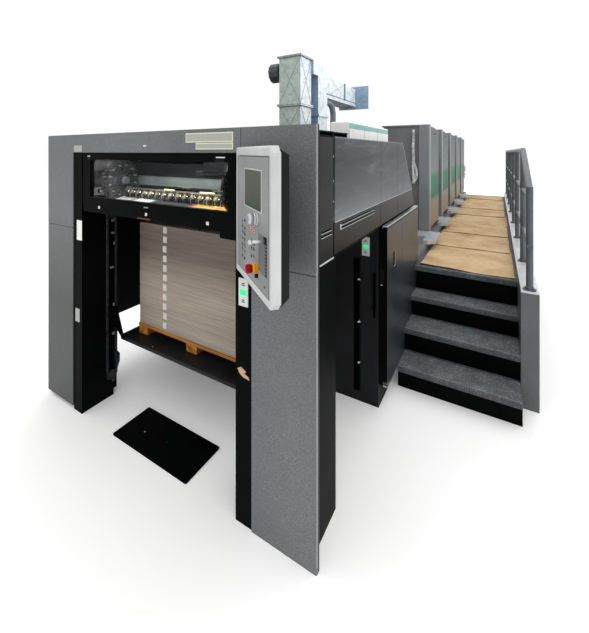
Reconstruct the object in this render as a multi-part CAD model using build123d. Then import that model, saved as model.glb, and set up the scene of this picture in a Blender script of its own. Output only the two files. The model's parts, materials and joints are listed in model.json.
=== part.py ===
from build123d import *
import os

# Sheet-fed offset printing press: pile delivery with its console and window, five printing units in a
# row, a raised operator gallery with stairs and rail, exhaust ducts on the roof and a plain feeder.
# While modelling, X = 0 is the middle of the sheet path with +X towards the operator, Y = 0 is the front
# of the delivery with +Y towards the feeder, and Z = 0 is the floor. Lengths are millimetres.

# Driving dimensions of the delivery front
body_half_width = 1000
cover_overhang = 40
leg_width = 373
strip_width = 94
leg_depth = 300
leg_inner_depth = 235
leg_inner_width = 60
leg_cover_lift = 25
leg_height = 1200
head_height = 613
front_panel_thickness = 30
front_edge_radius = 7
strip_setback = 6
panel_gap = 3
header_height = 117
header_seam_inset = 59
header_return = 150
overrun = 20
bar_sides = 12

# Heights and widths that follow on the delivery front
press_half_width = body_half_width + cover_overhang
bay_half_width = body_half_width - leg_width
leg_panel_edge = bay_half_width + strip_width
header_seam = leg_panel_edge - header_seam_inset
front_height = leg_height + head_height
header_low = front_height - header_height

# Window guard and the beam below it
guard_height = 323
guard_front = 9
guard_thickness = 28
guard_gap = 4
guard_corner_radius = 14
beam_height = 55
beam_step = 31
beam_step_length = 94
beam_step_inset = 6
beam_depth = 84
glass_left_margin = 87
glass_right_margin = 47
glass_sill = 42
glass_lintel = 45
glass_corner_radius = 9
glass_thickness = 6
glass_setback = 8
beam_top = header_low - guard_height
beam_low = beam_top - beam_height
beam_front = strip_setback + strip_setback
beam_back = beam_front + beam_depth
guard_back = guard_front + guard_thickness

# Gripper chain wheels, gripper bar and sheet guides behind the window
wheel_radius = 135
wheel_width = 30
wheel_setback = 168
wheel_clearance = 4
wheel_inset = 127
wheel_rim = 24
wheel_tooth_count = 28
wheel_tooth_height = 8
tooth_shares = (0, 0.3, 0.45, 0.85)
wheel_hub_radius = 42
wheel_hole_radius = 17
wheel_hole_circle_radius = 72
wheel_hole_count = 6
wheel_shaft_radius = 20
wheel_stub = 52
gripper_bar_radius = 11
gripper_bar_drop = 82
gripper_bar_back = 12
gripper_count = 15
gripper_margin = 80
gripper_width = 26
gripper_length = 62
gripper_height = 30
gripper_tip = 9
gripper_nose = 30
guide_height = 118
guide_drop = 42
guide_thickness = 4
guide_foot = 60
guide_clearance = 15
catch_thickness = 3
catch_slope = 34
catch_length = 374
wheel_centre_y = guard_back + wheel_setback
wheel_centre_z = beam_top + wheel_clearance + wheel_radius
wheel_offset_x = bay_half_width - wheel_inset
guide_y = wheel_centre_y + wheel_radius + guide_clearance
guide_low = wheel_centre_z - guide_drop

# Operator console on the right strip
console_gap = 16
console_standoff = 8
console_width = 480
console_height = 559
console_drop = 37
console_turn = 38.5
console_face_thickness = 34
console_chamfer = 26
console_rim = 9
console_tub_depth = 40
console_tub_inset = 6
console_tub_start = 140
console_tub_shrink = 40
console_arm_height = 240
console_arm_start = 185
console_arm_end = 300
display_left_share = 0.319
display_right_share = 0.778
display_low_share = 0.571
display_top_share = 0.835
display_raise = 3
display_radius = 5
knob_radius = 20
knob_length = 34
knob_across_share = 0.662
knob_up_share = 0.515
lever_radius = 5
lever_length = 56
lever_ball_radius = 9
lever_across_share = 0.878
lever_up_share = 0.407
key_size = 15
key_raise = 3
key_row_pitch = 31
key_column_pitch = 120
key_columns = 2
key_rows = 4
key_across_share = 0.312
key_up_share = 0.195
stop_collar_radius = 17
stop_collar_height = 20
stop_cap_radius = 17
stop_cap_height = 43
stop_across_share = 0.662
stop_up_share = 0.187
console_left_x = bay_half_width + console_gap
console_low = leg_height - console_drop

# Sheet pile, pallet and pile board on the delivery hoist
pile_side_gap = 122
pile_front = 360
pile_depth = 720
pile_headroom = 118
pallet_height = 72
pallet_deck = 20
pallet_skid_width = 92
pallet_skid_inset = 50
pallet_overhang = 6
board_thickness = 22
board_side_gap = 40
board_front_lead = 105
board_back_lead = 5
board_top = 416
board_corner_radius = 18
pile_half_width = bay_half_width - pile_side_gap
pile_top = beam_low - pile_headroom
pile_low = board_top + pallet_height
pile_back = pile_front + pile_depth
board_half_width = bay_half_width - board_side_gap
board_front = pile_front - board_front_lead
board_back = pile_back + board_back_lead

# Pile hoist: four chain loops on the legs and walls, and the arms that carry the board
hoist_side_gap = 67
hoist_edge_gap = 80
hoist_low = 200
hoist_rise = 70
hoist_wheel_radius = 26
hoist_wheel_width = 10
hoist_axle_radius = 11
chain_depth = 12
chain_seat = 0.5
chain_width = 16
arm_thickness = 14
arm_seat = 0.5
arm_rise = 235
arm_head = 60
foot_clearance = 10
foot_drop = 110
foot_height = 239
foot_tip_drop = 18
foot_nose = 52
foot_reach = 70
foot_thickness = 12
hoist_x = bay_half_width - hoist_side_gap
hoist_high = leg_height + hoist_rise
hoist_front_y = board_front - hoist_edge_gap
hoist_back_y = board_back + hoist_edge_gap
foot_low = hoist_low - foot_drop
foot_high = foot_low + foot_height

# Back of the pile bay and the delivery head over it
back_panel_gap = 107
back_panel_thickness = 20
chain_end_gap = 55
roof_drop = 48
roof_thickness = 15
head_lead = 235
head_slant = 445
back_panel_y = hoist_back_y + hoist_wheel_radius + chain_depth + back_panel_gap
chain_run = back_panel_y - wheel_centre_y - wheel_radius - chain_end_gap
roof_top = front_height - roof_drop
head_wall_top = roof_top - roof_thickness
head_back_top = back_panel_y + head_lead
head_back_foot = head_back_top + head_slant

# Side covers of the delivery
cover_front_end = 180
cover_front_rise = 36
cover_front_drop = 50
cover_thickness = 38
cover_edge_radius = 5
door_gap = 17
door_slant = 353
door_overlap = 14
door_seam_shares = (0.555, 0.88)
door_drop = 45
band_rise = 43
band_height = 140
band_gap = 8
band_slant = 96
louvre_inset = 76
louvre_length = 549
louvre_drop = 25
louvre_height = 9
louvre_pitch = 17
louvre_depth = 12
louvre_count = 2
front_louvre_inset = 20
cover_outer = body_half_width + cover_thickness
cover_front_low = leg_height + cover_front_rise
cover_front_top = front_height - cover_front_drop
band_low = leg_height + band_rise
band_start = cover_front_end + band_gap
door_start = cover_front_end + door_gap
door_low = band_low + band_height
door_top = front_height - door_drop
door_top_end = head_back_top + door_overlap
door_low_end = door_top_end + door_slant
door_seams = tuple(door_start + share * (door_top_end - door_start) for share in door_seam_shares)
band_end = door_low_end + band_slant
louvre_z = door_low - louvre_drop
louvre_start = band_start + louvre_inset
louvre_end = louvre_start + louvre_length
front_louvre_start = front_panel_thickness + front_louvre_inset
front_louvre_end = cover_front_end - front_louvre_inset

# Cabinets behind the pile bay and the slotted wall in front of them
cabinet_gap = 20
cabinet_tail = 190
cabinet_door_thickness = 30
cabinet_seam_share = 0.412
cabinet_toe = 150
cabinet_toe_setback = 25
cabinet_strip = 10
handle_height = 95
handle_width = 32
handle_depth = 14
handle_drop = 200
handle_seam_gap = 255
bay_wall_thickness = 12
bay_wall_inset = 28
bay_wall_margin = 55
bay_slot_inset = 195
bay_slot_width = 35
bay_slot_backing = 4
bay_slot_low = 74
bay_slot_drop = 223
second_slot_step = 100
second_slot_drop = 70
second_slot_length = 480
drive_panel_low = 370
cabinet_front = pile_back + cabinet_gap
cabinet_end = head_back_foot + cabinet_tail
cabinet_seam = cabinet_front + cabinet_seam_share * (cabinet_end - cabinet_front)
cabinet_body_side = press_half_width - cabinet_door_thickness
handle_y = cabinet_seam - handle_seam_gap
handle_z = leg_height - handle_drop
bay_wall_front = cabinet_front - bay_wall_thickness
bay_wall_inner = bay_half_width + bay_wall_inset
bay_wall_outer = press_half_width - bay_wall_margin
bay_slot_x = bay_wall_inner + bay_slot_inset
bay_slot_high = leg_height - bay_slot_drop
second_slot_x = bay_slot_x + second_slot_step
second_slot_high = leg_height - second_slot_drop
second_slot_low = second_slot_high - second_slot_length

# Status plates with their lit lens
status_width = 52
status_height = 126
status_thickness = 5
status_drop = 202
lens_width = 34
lens_height = 24
lens_raise = 3
status_low = leg_height - status_drop
status_wall_x = (bay_slot_x + second_slot_x) / 2

# Loose floor plate in front of the pile
floor_plate_half_width = 306
floor_plate_front = 7
floor_plate_depth = 270
floor_plate_thickness = 6
floor_plate_radius = 10

# Printing units on their bed
unit_count = 5
unit_lead = 937
unit_depth = 760
unit_spacing = 332
unit_height = 2015
column_width = 113
column_depth = 115
column_radius = 12
unit_wall_setback = 20
unit_lip = 16
cheek_width = 480
middle_drop = 455
middle_crown = 130
unit_door_thickness = 40
unit_door_rise = 68
unit_door_gap = 6
unit_door_top_gap = 30
door_slot_drop = 80
door_slot_length = 120
door_slot_height = 30
door_slot_depth = 12
bed_top = 762
foot_plate_inset = 175
foot_plate_reach = 80
foot_plate_tail = 190
foot_plate_thickness = 38
foot_plate_corner = 70
unit_start = cabinet_end + unit_lead
unit_pitch = unit_depth + unit_spacing
unit_fronts = [unit_start + index * unit_pitch for index in range(unit_count)]
press_end = unit_fronts[-1] + unit_depth
unit_door_side = body_half_width - unit_door_thickness
unit_cheek_inner = unit_door_side - cheek_width
column_side = body_half_width - column_width
unit_middle_top = unit_height - middle_drop
door_slot_top = unit_height - door_slot_drop
unit_door_low = bed_top + unit_door_rise
foot_plate_length = unit_spacing - unit_lip - unit_lip
foot_plate_inner = press_half_width - foot_plate_inset
wing_inner = body_half_width + unit_door_gap
foot_plate_outer = press_half_width + foot_plate_reach

# Sloping chain housing between the delivery and the first unit
track_side_gap = 27
track_low_lead = 170
track_rise = 508
track_half_width = bay_half_width - track_side_gap
track_low_start = cabinet_end - track_low_lead
track_end_top = bed_top + track_rise

# Powder box, ducts, blower and pipes on the delivery roof
powder_box_width = 114
powder_box_length = 917
powder_box_height = 119
powder_box_inset = 100
powder_box_start = 753
powder_box_radius = 9
duct_inset = 500
duct_size = 170
duct_front = 900
duct_height = 605
duct_flange = 12
duct_flange_height = 18
duct_joint_height = 258
rear_joint_drop = 55
duct_gap = 80
rear_duct_shift = 20
bend_height = 100
bend_shares = (0.66, 0.74)
run_drop = 78
run_height = 165
run_length = 680
run_inset = 6
run_plate_width = 290
run_plate_height = 212
run_plate_thickness = 24
run_plate_shift = 60
blower_radius = 72
blower_length = 77
blower_neck_radius = 44
blower_neck_length = 26
blower_drop = 84
pipe_radius = 24
pipe_inset = 30
pipe_reach = 190
pipe_drop = 5
pipe_bend = 80
pipe_mitre_share = 0.29
hose_inset = 170
hose_radius = 19
hose_clip = 40
hose_clip_gap = 18
hose_top_gap = 60
hose_length = 625
powder_box_outer = body_half_width - powder_box_inset
duct_right = body_half_width - duct_inset
duct_left = duct_right - duct_size
duct_back = duct_front + duct_size
duct_top = roof_top + duct_height
rear_duct_front = duct_back + duct_gap
rear_duct_back = rear_duct_front + duct_size
rear_duct_top = duct_top - bend_height
rear_duct_left = duct_left + rear_duct_shift
rear_duct_right = rear_duct_left + duct_size
duct_joint_z = roof_top + duct_joint_height
rear_joint_z = duct_joint_z - rear_joint_drop
blower_z = duct_top - blower_drop
run_high = duct_top - run_drop
run_low = run_high - run_height
run_end = rear_duct_back + run_length
pipe_high = run_low - pipe_drop - pipe_radius
hose_x = body_half_width - hose_inset
hose_high = unit_height - hose_top_gap
hose_low = hose_high - hose_length

# Operator gallery: stairs, deck, outer fascia and rail
gallery_width = 745
gallery_tail = 45
deck_top = 700
deck_thickness = 45
deck_lead = 130
tread_leads = (684, 450, 190)
tread_top_shares = (0.229, 0.479, 0.714)
tread_thickness = 42
tread_gap = 2
riser_setback = 30
nosing_radius = 8
fascia_width = 100
fascia_rise = 80
fascia_lead = 455
fascia_cap = 12
rail_radius = 21
rail_height = 935
rail_first_height = 687
rail_first_inset = 45
rail_second_inset = 785
rail_last_inset = 40
rail_bays = 6
rail_mid_heights = (290, 610)
rail_mid_radius = 14
board_sheet_inset = 29
board_sheet_margin = 12
board_sheet_lead = 90
board_sheet_tail = 120
board_sheet_count = 6
board_sheet_thickness = 4
board_sheet_gap = 6
gallery_outer = press_half_width + gallery_width
gallery_end = press_end + gallery_tail
deck_front = cabinet_end - deck_lead
tread_fronts = tuple(deck_front - lead for lead in tread_leads)
tread_ends = tread_fronts[1:] + (deck_front,)
tread_tops = tuple(share * deck_top for share in tread_top_shares)
fascia_outer = gallery_outer + fascia_width
fascia_top = deck_top + fascia_rise
fascia_front = deck_front - fascia_lead
rail_x = gallery_outer + fascia_width / 2
rail_top = fascia_top + rail_height
rail_first_top = fascia_top + rail_first_height
rail_first_y = fascia_front + rail_first_inset
rail_second_y = fascia_front + rail_second_inset
rail_last_y = gallery_end - rail_last_inset

# Plain feeder at the far end
feeder_length = 2055
feeder_setback = 150
feeder_wall_thickness = 110
feeder_wall_top = 1420
feeder_front_top = 1180
feeder_slope_lead = 655
feed_table_thickness = 40
feed_table_low = 930
feed_table_rise = 180
feed_table_length = 1005
feeder_head_lead = 30
feeder_head_depth = 420
feeder_head_drop = 20
feeder_head_height = 135
feeder_head_radius = 45
feeder_pile_lead = 40
feeder_pile_height = 928
feeder_foot_height = 150
feeder_foot_width = 120
feeder_end = press_end + feeder_length
feeder_outer = body_half_width - feeder_setback
feeder_inner = feeder_outer - feeder_wall_thickness
feeder_slope_start = press_end + feeder_slope_lead
feed_table_end = press_end + feed_table_length
feed_table_high = feed_table_low + feed_table_rise
feeder_head_front = feed_table_end + feeder_head_lead
feeder_head_top = feeder_wall_top - feeder_head_drop
feeder_head_low = feeder_head_top - feeder_head_height
feeder_pile_front = feeder_head_front + feeder_pile_lead
feeder_pile_back = feeder_pile_front + pile_depth
feeder_pile_low = feeder_foot_height + board_thickness
feeder_pile_top = feeder_pile_low + feeder_pile_height

# Face of the console, turned towards the operator
console_plane = Plane(
    origin=(console_left_x, -console_standoff, console_low),
    x_dir=Vector(1, 0, 0).rotate(Axis.Z, -console_turn),
    z_dir=Vector(0, -1, 0).rotate(Axis.Z, -console_turn),
)


def block(x, y, z):
    """Block between a low and a high limit along each axis."""
    lows, highs = zip(x, y, z)
    size = [high - low for low, high in zip(lows, highs)]
    return Pos(*lows) * Box(*size, align=(Align.MIN, Align.MIN, Align.MIN))


def across(points, x):
    """Outline of (y, z) points, drawn out along X between two limits."""
    face = make_face(Polyline(*points, close=True))
    return Pos(x[0], 0, 0) * extrude(Plane.YZ * face, x[1] - x[0])


def along(points, y):
    """Outline of (x, z) points, drawn out along Y between two limits."""
    face = make_face(Polyline(*points, close=True))
    return Pos(0, y[1], 0) * extrude(Plane.XZ * face, y[1] - y[0])


def upright(points, z):
    """Outline of (x, y) points, drawn out along Z between two limits."""
    face = make_face(Polyline(*points, close=True))
    return Pos(0, 0, z[0]) * extrude(face, z[1] - z[0])


def drive_side(shape):
    """The same piece on the far side of the press."""
    return mirror(shape, about=Plane.YZ)


def pipe(path, radius):
    """Bar along a path, round to the eye with a few flat sides."""
    start = Plane(origin=path @ 0, z_dir=path % 0)
    return sweep(start * RegularPolygon(radius, bar_sides), path, transition=Transition.RIGHT)


def tube(start, end, radius):
    """Straight bar between two points."""
    return pipe(Line(start, end), radius)


def leg_frame():
    """Black post of one delivery leg with the strip that frames the pile bay."""
    strip_edge = leg_panel_edge - panel_gap
    inner_edge = bay_half_width + leg_inner_width
    plan = [
        (bay_half_width, strip_setback),
        (strip_edge, strip_setback),
        (strip_edge, front_panel_thickness),
        (body_half_width, front_panel_thickness),
        (body_half_width, leg_depth),
        (inner_edge, leg_depth),
        (inner_edge, leg_inner_depth),
        (bay_half_width, leg_inner_depth),
    ]
    return upright(plan, (0, leg_height))


def leg_cover(lift):
    """Grey panel on the front of one leg, wider than the post behind it, raised off the floor by a lift."""
    panel = block(
        (leg_panel_edge, press_half_width), (0, front_panel_thickness), (lift, leg_height - panel_gap)
    )
    outer = panel.edges().filter_by(Axis.Z).group_by(Axis.X)[-1]
    return fillet(outer, front_edge_radius)


def upper_left_cover():
    """Grey panel above the drive-side leg."""
    panel = block(
        (-press_half_width, -leg_panel_edge), (0, front_panel_thickness), (leg_height, front_height)
    )
    outer = panel.edges().filter_by(Axis.Z).group_by(Axis.X)[0]
    return fillet(outer, front_edge_radius)


def upper_right_cover():
    """Grey panel above the operator-side leg, stepped round the end of the header."""
    outline = [
        (leg_panel_edge, leg_height),
        (press_half_width, leg_height),
        (press_half_width, front_height),
        (header_seam, front_height),
        (header_seam, header_low),
        (leg_panel_edge, header_low),
    ]
    panel = along(outline, (0, front_panel_thickness))
    outer = panel.edges().filter_by(Axis.Z).group_by(Axis.X)[-1]
    return fillet(outer, front_edge_radius)


def header_cover():
    """Folded panel over the window with its top return on the roof."""
    profile = [
        (0, header_low),
        (0, front_height),
        (header_return, front_height),
        (header_return, roof_top),
        (front_panel_thickness, roof_top),
        (front_panel_thickness, header_low),
    ]
    return across(profile, (-leg_panel_edge, header_seam - panel_gap))


def head_wall():
    """Side wall of the delivery head, with a slanted back and the strip beside the window."""
    profile = [
        (front_panel_thickness, leg_height),
        (front_panel_thickness, head_wall_top),
        (head_back_top, head_wall_top),
        (head_back_foot, leg_height),
    ]
    wall = across(profile, (bay_half_width, body_half_width))
    strip = block(
        (bay_half_width, leg_panel_edge - panel_gap),
        (strip_setback, front_panel_thickness),
        (leg_height, header_low - panel_gap),
    )
    return wall + strip


def delivery_roof():
    """Sheet over the delivery head."""
    return block(
        (-body_half_width, body_half_width),
        (front_panel_thickness, head_back_top),
        (head_wall_top, roof_top),
    )


def crossbeam():
    """Black beam under the window, stepped down at the operator end."""
    step_end = bay_half_width - beam_step_inset
    outline = [
        (-bay_half_width, beam_low),
        (-bay_half_width, beam_top),
        (bay_half_width, beam_top),
        (bay_half_width, beam_low),
        (step_end, beam_low),
        (step_end, beam_low - beam_step),
        (step_end - beam_step_length, beam_low - beam_step),
        (step_end - beam_step_length, beam_low),
    ]
    return along(outline, (beam_front, beam_back))


def window_opening(y):
    """Rounded outline of the glass between two limits along Y."""
    x = (glass_left_margin - bay_half_width, bay_half_width - glass_right_margin)
    opening = block(x, y, (beam_top + glass_sill, header_low - glass_lintel))
    return fillet(opening.edges().filter_by(Axis.Y), glass_corner_radius)


def window_frame():
    """Black guard frame round the delivery window."""
    half = bay_half_width - guard_gap
    frame = block((-half, half), (guard_front, guard_back), (beam_top, header_low - guard_gap))
    frame = fillet(frame.edges().filter_by(Axis.Y).group_by(Axis.Z)[-1], guard_corner_radius)
    return frame - window_opening((guard_front - overrun, guard_back + overrun))


def window_glass():
    """Clear sheet that fills the guard frame."""
    front = guard_front + glass_setback
    return window_opening((front, front + glass_thickness))


def toothed_outline():
    """Outline of a chain wheel with one flat-topped tooth for each chain link."""
    step = 360 / wheel_tooth_count
    root = wheel_radius - wheel_tooth_height
    points = []
    for index in range(wheel_tooth_count):
        for share, radius in zip(tooth_shares, (wheel_radius, wheel_radius, root, root)):
            points.append(Vector(radius, 0, 0).rotate(Axis.Z, (index + share) * step))
    return make_face(Polyline(*points, close=True))


def chain_wheel():
    """Chain wheel with rim, hub and a thin web with holes, on a stub shaft from the operator-side wall."""
    field = RegularPolygon(wheel_radius - wheel_rim, wheel_tooth_count)
    holes = PolarLocations(wheel_hole_circle_radius, wheel_hole_count) * RegularPolygon(
        wheel_hole_radius, bar_sides
    )
    rim = extrude(toothed_outline() - field, wheel_width / 2, both=True)
    web = extrude(field - holes, wheel_width / 4, both=True)
    hub = extrude(RegularPolygon(wheel_hub_radius, bar_sides), wheel_width / 2, both=True)
    wheel = Pos(wheel_offset_x, wheel_centre_y, wheel_centre_z) * Rot(0, 90, 0) * (rim + web + hub)
    shaft = tube(
        (wheel_offset_x - wheel_stub, wheel_centre_y, wheel_centre_z),
        (bay_half_width, wheel_centre_y, wheel_centre_z),
        wheel_shaft_radius,
    )
    return wheel + shaft


def gripper():
    """Outline of one gripper finger round the bar, with its nose towards the window."""
    outline = [
        (gripper_length - gripper_nose, gripper_height / 2),
        (gripper_length - gripper_nose, -gripper_height / 2),
        (-gripper_nose, -gripper_height / 2 - gripper_tip),
        (-gripper_nose, -gripper_height / 2),
        (-gripper_tip, gripper_height / 2),
    ]
    half = gripper_width / 2
    return across(outline, (-half, half))


def gripper_bar():
    """Bar with a row of gripper fingers, carried between the chain wheels."""
    y = wheel_centre_y + gripper_bar_back
    z = wheel_centre_z - gripper_bar_drop
    reach = wheel_offset_x - wheel_width / 4
    bar = tube((-reach, y, z), (reach, y, z), gripper_bar_radius)
    first = wheel_offset_x - gripper_margin
    pitch = 2 * first / (gripper_count - 1)
    finger = gripper()
    for index in range(gripper_count):
        bar += Pos(index * pitch - first, y, z) * finger
    return bar


def sheet_guide():
    """Pale folded guide plate behind the grippers."""
    inner_y = guide_y + guide_thickness
    top = guide_low + guide_height
    profile = [
        (guide_y, guide_low),
        (guide_y, top),
        (inner_y, top),
        (inner_y, guide_low + guide_thickness),
        (guide_y + guide_foot, guide_low + guide_thickness),
        (guide_y + guide_foot, guide_low),
    ]
    return across(profile, (-bay_half_width, bay_half_width))


def catch_tray():
    """Sloping sheet tray on the beam, below the grippers."""
    start = guard_back + panel_gap
    end = beam_back + catch_length
    top = beam_top + catch_thickness
    profile = [
        (start, beam_top),
        (start, top),
        (beam_back, top),
        (end, top + catch_slope),
        (end, beam_top + catch_slope),
        (beam_back, beam_top),
    ]
    half = wheel_offset_x - wheel_width
    return across(profile, (-half, half))


def gripper_chain(side):
    """Closed chain loop that runs from one chain wheel to the back of the head."""
    inner = wheel_radius + chain_seat
    loop = SlotCenterToCenter(chain_run, 2 * (inner + chain_depth))
    loop -= SlotCenterToCenter(chain_run, 2 * inner)
    solid = extrude(Plane.YZ * loop, chain_width / 2, both=True)
    return Pos(side * wheel_offset_x, wheel_centre_y + chain_run / 2, wheel_centre_z) * solid


def on_console(u_share, v_share):
    """Place on the console face, given as shares of its width and height."""
    return console_plane.location * Pos(u_share * console_width, v_share * console_height, 0)


def console_outline():
    """Face of the console with cut right-hand corners."""
    return make_face(
        Polyline(
            (0, 0),
            (console_width - console_chamfer, 0),
            (console_width, console_chamfer),
            (console_width, console_height - console_chamfer),
            (console_width - console_chamfer, console_height),
            (0, console_height),
            close=True,
        )
    )


def console_panel():
    """Pale face plate of the console with a rounded rim, cut flush where it meets the front panels."""
    plate = extrude(console_outline(), -console_face_thickness)
    rim = plate.edges().group_by(Axis.Z)[-1].sort_by(Axis.X)[1:]
    plate = console_plane.location * fillet(rim, console_rim)
    behind = block(
        (bay_half_width, console_left_x + console_width),
        (0, console_width),
        (console_low - overrun, console_low + console_height + overrun),
    )
    return plate - behind


def console_housing():
    """Dark tub behind the face plate, tapered to the back, with the arm that holds it."""
    half_u = (console_width - console_tub_start) / 2 - console_tub_inset
    half_v = console_height / 2 - console_chamfer / 2
    middle_u = (console_tub_start + console_width) / 2
    middle_v = console_height / 2
    back = console_face_thickness + console_tub_depth
    tub = console_plane.location * loft(
        [
            Pos(middle_u, middle_v, -console_face_thickness) * Rectangle(2 * half_u, 2 * half_v),
            Pos(middle_u, middle_v, -back)
            * Rectangle(2 * half_u - console_tub_shrink, 2 * half_v - console_tub_shrink),
        ]
    )
    depth = console_face_thickness + console_tub_depth / 2
    start = console_plane.from_local_coords(Vector(console_arm_start, middle_v, -depth))
    end = console_plane.from_local_coords(Vector(console_arm_end, middle_v, -depth))
    plan = [(start.X, 0), (start.X, start.Y), (end.X, end.Y), (end.X, 0)]
    arm = upright(plan, (start.Z - console_arm_height / 2, start.Z + console_arm_height / 2))
    return tub + arm


def console_display():
    """Dark screen set on the console face."""
    width = (display_right_share - display_left_share) * console_width
    height = (display_top_share - display_low_share) * console_height
    screen = extrude(RectangleRounded(width, height, display_radius), display_raise)
    middle_u = (display_left_share + display_right_share) / 2
    middle_v = (display_low_share + display_top_share) / 2
    return on_console(middle_u, middle_v) * screen


def console_controls():
    """Knob, ball lever and key field of the console, as separate pieces."""
    knob = extrude(RegularPolygon(knob_radius, bar_sides), knob_length)
    knob = chamfer(knob.edges().group_by(Axis.Z)[-1], knob_radius / 4)
    lever = tube((0, 0, 0), (0, 0, lever_length), lever_radius)
    ball = extrude(RegularPolygon(lever_ball_radius, bar_sides), 2 * lever_ball_radius)
    ball = chamfer(ball.edges().group_by(Axis.Z)[-1], lever_ball_radius / 2)
    lever += Pos(0, 0, lever_length - lever_ball_radius) * ball
    key = extrude(Rectangle(key_size, key_size), key_raise)
    pieces = [
        on_console(knob_across_share, knob_up_share) * knob,
        on_console(lever_across_share, lever_up_share) * lever,
    ]
    for column in range(key_columns):
        for row in range(key_rows):
            step = Pos(column * key_column_pitch, row * key_row_pitch, 0)
            pieces.append(on_console(key_across_share, key_up_share) * step * key)
    return pieces


def emergency_stop():
    """Mushroom button on its round collar."""
    collar = extrude(RegularPolygon(stop_collar_radius, bar_sides), stop_collar_height)
    stem = extrude(RegularPolygon(stop_cap_radius / 2, bar_sides), stop_cap_height)
    cap = extrude(RegularPolygon(stop_cap_radius, bar_sides), stop_cap_height / 2)
    cap = chamfer(cap.edges().group_by(Axis.Z)[-1], stop_cap_radius / 4)
    button = collar + stem + Pos(0, 0, stop_cap_height / 2) * cap
    return on_console(stop_across_share, stop_up_share) * button


def pile_board():
    """Flat board of the delivery hoist."""
    board = block(
        (-board_half_width, board_half_width),
        (board_front, board_back),
        (board_top - board_thickness, board_top),
    )
    return fillet(board.edges().filter_by(Axis.Z), board_corner_radius)


def pallet():
    """Wooden pallet: a deck on three skids that run along the press."""
    half = pile_half_width + pallet_overhang
    y = (pile_front - pallet_overhang, pile_back - pallet_overhang)
    wood = block((-half, half), y, (pile_low - pallet_deck, pile_low))
    offset = pile_half_width - pallet_skid_inset
    for x in (-offset, 0, offset):
        skid = (x - pallet_skid_width / 2, x + pallet_skid_width / 2)
        wood += block(skid, y, (board_top, pile_low - pallet_deck))
    return wood


def paper_pile():
    """Stack of printed sheets."""
    return block((-pile_half_width, pile_half_width), (pile_front, pile_back), (pile_low, pile_top))


def hoist_loop(side, y):
    """One closed hoist chain round its upper and lower wheel."""
    run = hoist_high - hoist_low
    inner = hoist_wheel_radius + chain_seat
    loop = SlotCenterToCenter(run, 2 * (inner + chain_depth)) - SlotCenterToCenter(run, 2 * inner)
    solid = extrude(Plane.YZ * Rot(0, 0, 90) * loop, chain_width / 2, both=True)
    return Pos(side * hoist_x, y, hoist_low + run / 2) * solid


def hoist_wheels(y):
    """The two wheels of one operator-side hoist chain, each on an axle from the wall."""
    wheels = []
    half = hoist_wheel_width / 2
    for z in (hoist_low, hoist_high):
        wheel = tube((hoist_x - half, y, z), (hoist_x + half, y, z), hoist_wheel_radius)
        axle = tube((hoist_x, y, z), (bay_half_width, y, z), hoist_axle_radius)
        wheels.append(wheel + axle)
    return wheels


def hoist_arm(front):
    """Raking arm from the board's edge up beside the hoist chain, on the operator side."""
    inner = hoist_x - chain_width / 2 - arm_seat - arm_thickness
    low = board_top - board_thickness
    edge = board_front if front else board_back
    chain_y = hoist_front_y if front else hoist_back_y
    away = -1 if front else 1
    tip = chain_y + away * hoist_wheel_radius
    inside = chain_y - away * hoist_wheel_radius
    outline = [
        (edge, low),
        (edge, board_top),
        (inside, board_top + arm_rise),
        (tip, board_top + arm_rise),
        (tip, board_top + arm_rise - arm_head),
    ]
    return across(outline, (inner, inner + arm_thickness))


def hoist_foot():
    """Cut guard plate behind a lower hoist wheel, on the operator-side leg."""
    inner = bay_half_width - foot_reach
    tip = foot_high - foot_tip_drop
    outline = [
        (bay_half_width, foot_low),
        (bay_half_width, foot_high),
        (inner, tip),
        (inner, tip - foot_nose),
    ]
    front = hoist_front_y + hoist_wheel_radius + chain_depth + foot_clearance
    return along(outline, (front, front + foot_thickness))


def louvres(start, end, outer):
    """Horizontal slots cut into a side cover."""
    slots = []
    for index in range(louvre_count):
        z = louvre_z - index * louvre_pitch
        slots.append(block((outer - louvre_depth, outer + overrun), (start, end), (z, z + louvre_height)))
    return slots


def side_cover_front():
    """Dark cover beside the delivery front with its short louvres."""
    cover = block(
        (body_half_width, cover_outer),
        (front_panel_thickness, cover_front_end),
        (cover_front_low, cover_front_top),
    )
    cover = fillet(cover.edges().filter_by(Axis.Z).group_by(Axis.X)[-1], cover_edge_radius)
    return cover - louvres(front_louvre_start, front_louvre_end, cover_outer)


def door_back(z):
    """Place along Y of the slanted rear edge of the covers at a height."""
    share = (door_top - z) / (door_top - door_low)
    return door_top_end + share * (door_low_end - door_top_end)


def side_cover_door():
    """Upper side covers in three leaves, the last with a slanted edge."""
    leaves = []
    starts = (door_start,) + door_seams
    ends = tuple(seam - panel_gap for seam in door_seams)
    for start, end in zip(starts, ends):
        leaf = block((body_half_width, cover_outer), (start, end), (door_low, door_top))
        leaves.append(leaf)
    last = [
        (starts[-1], door_low),
        (starts[-1], door_top),
        (door_top_end, door_top),
        (door_low_end, door_low),
    ]
    leaves.append(across(last, (body_half_width, cover_outer)))
    return leaves


def side_cover_lower():
    """Band below the upper side covers with a long louvre."""
    top = door_low - panel_gap
    outline = [
        (band_start, band_low),
        (band_start, top),
        (door_back(top), top),
        (band_end, band_low),
    ]
    band = across(outline, (body_half_width, cover_outer))
    return band - louvres(louvre_start, louvre_end, cover_outer)


def drive_side_cover():
    """Plain cover on the far side of the delivery head."""
    outline = [
        (front_panel_thickness, band_low),
        (front_panel_thickness, cover_front_top),
        (door_top_end, cover_front_top),
        (band_end, band_low),
    ]
    return drive_side(across(outline, (body_half_width, cover_outer)))


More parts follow.
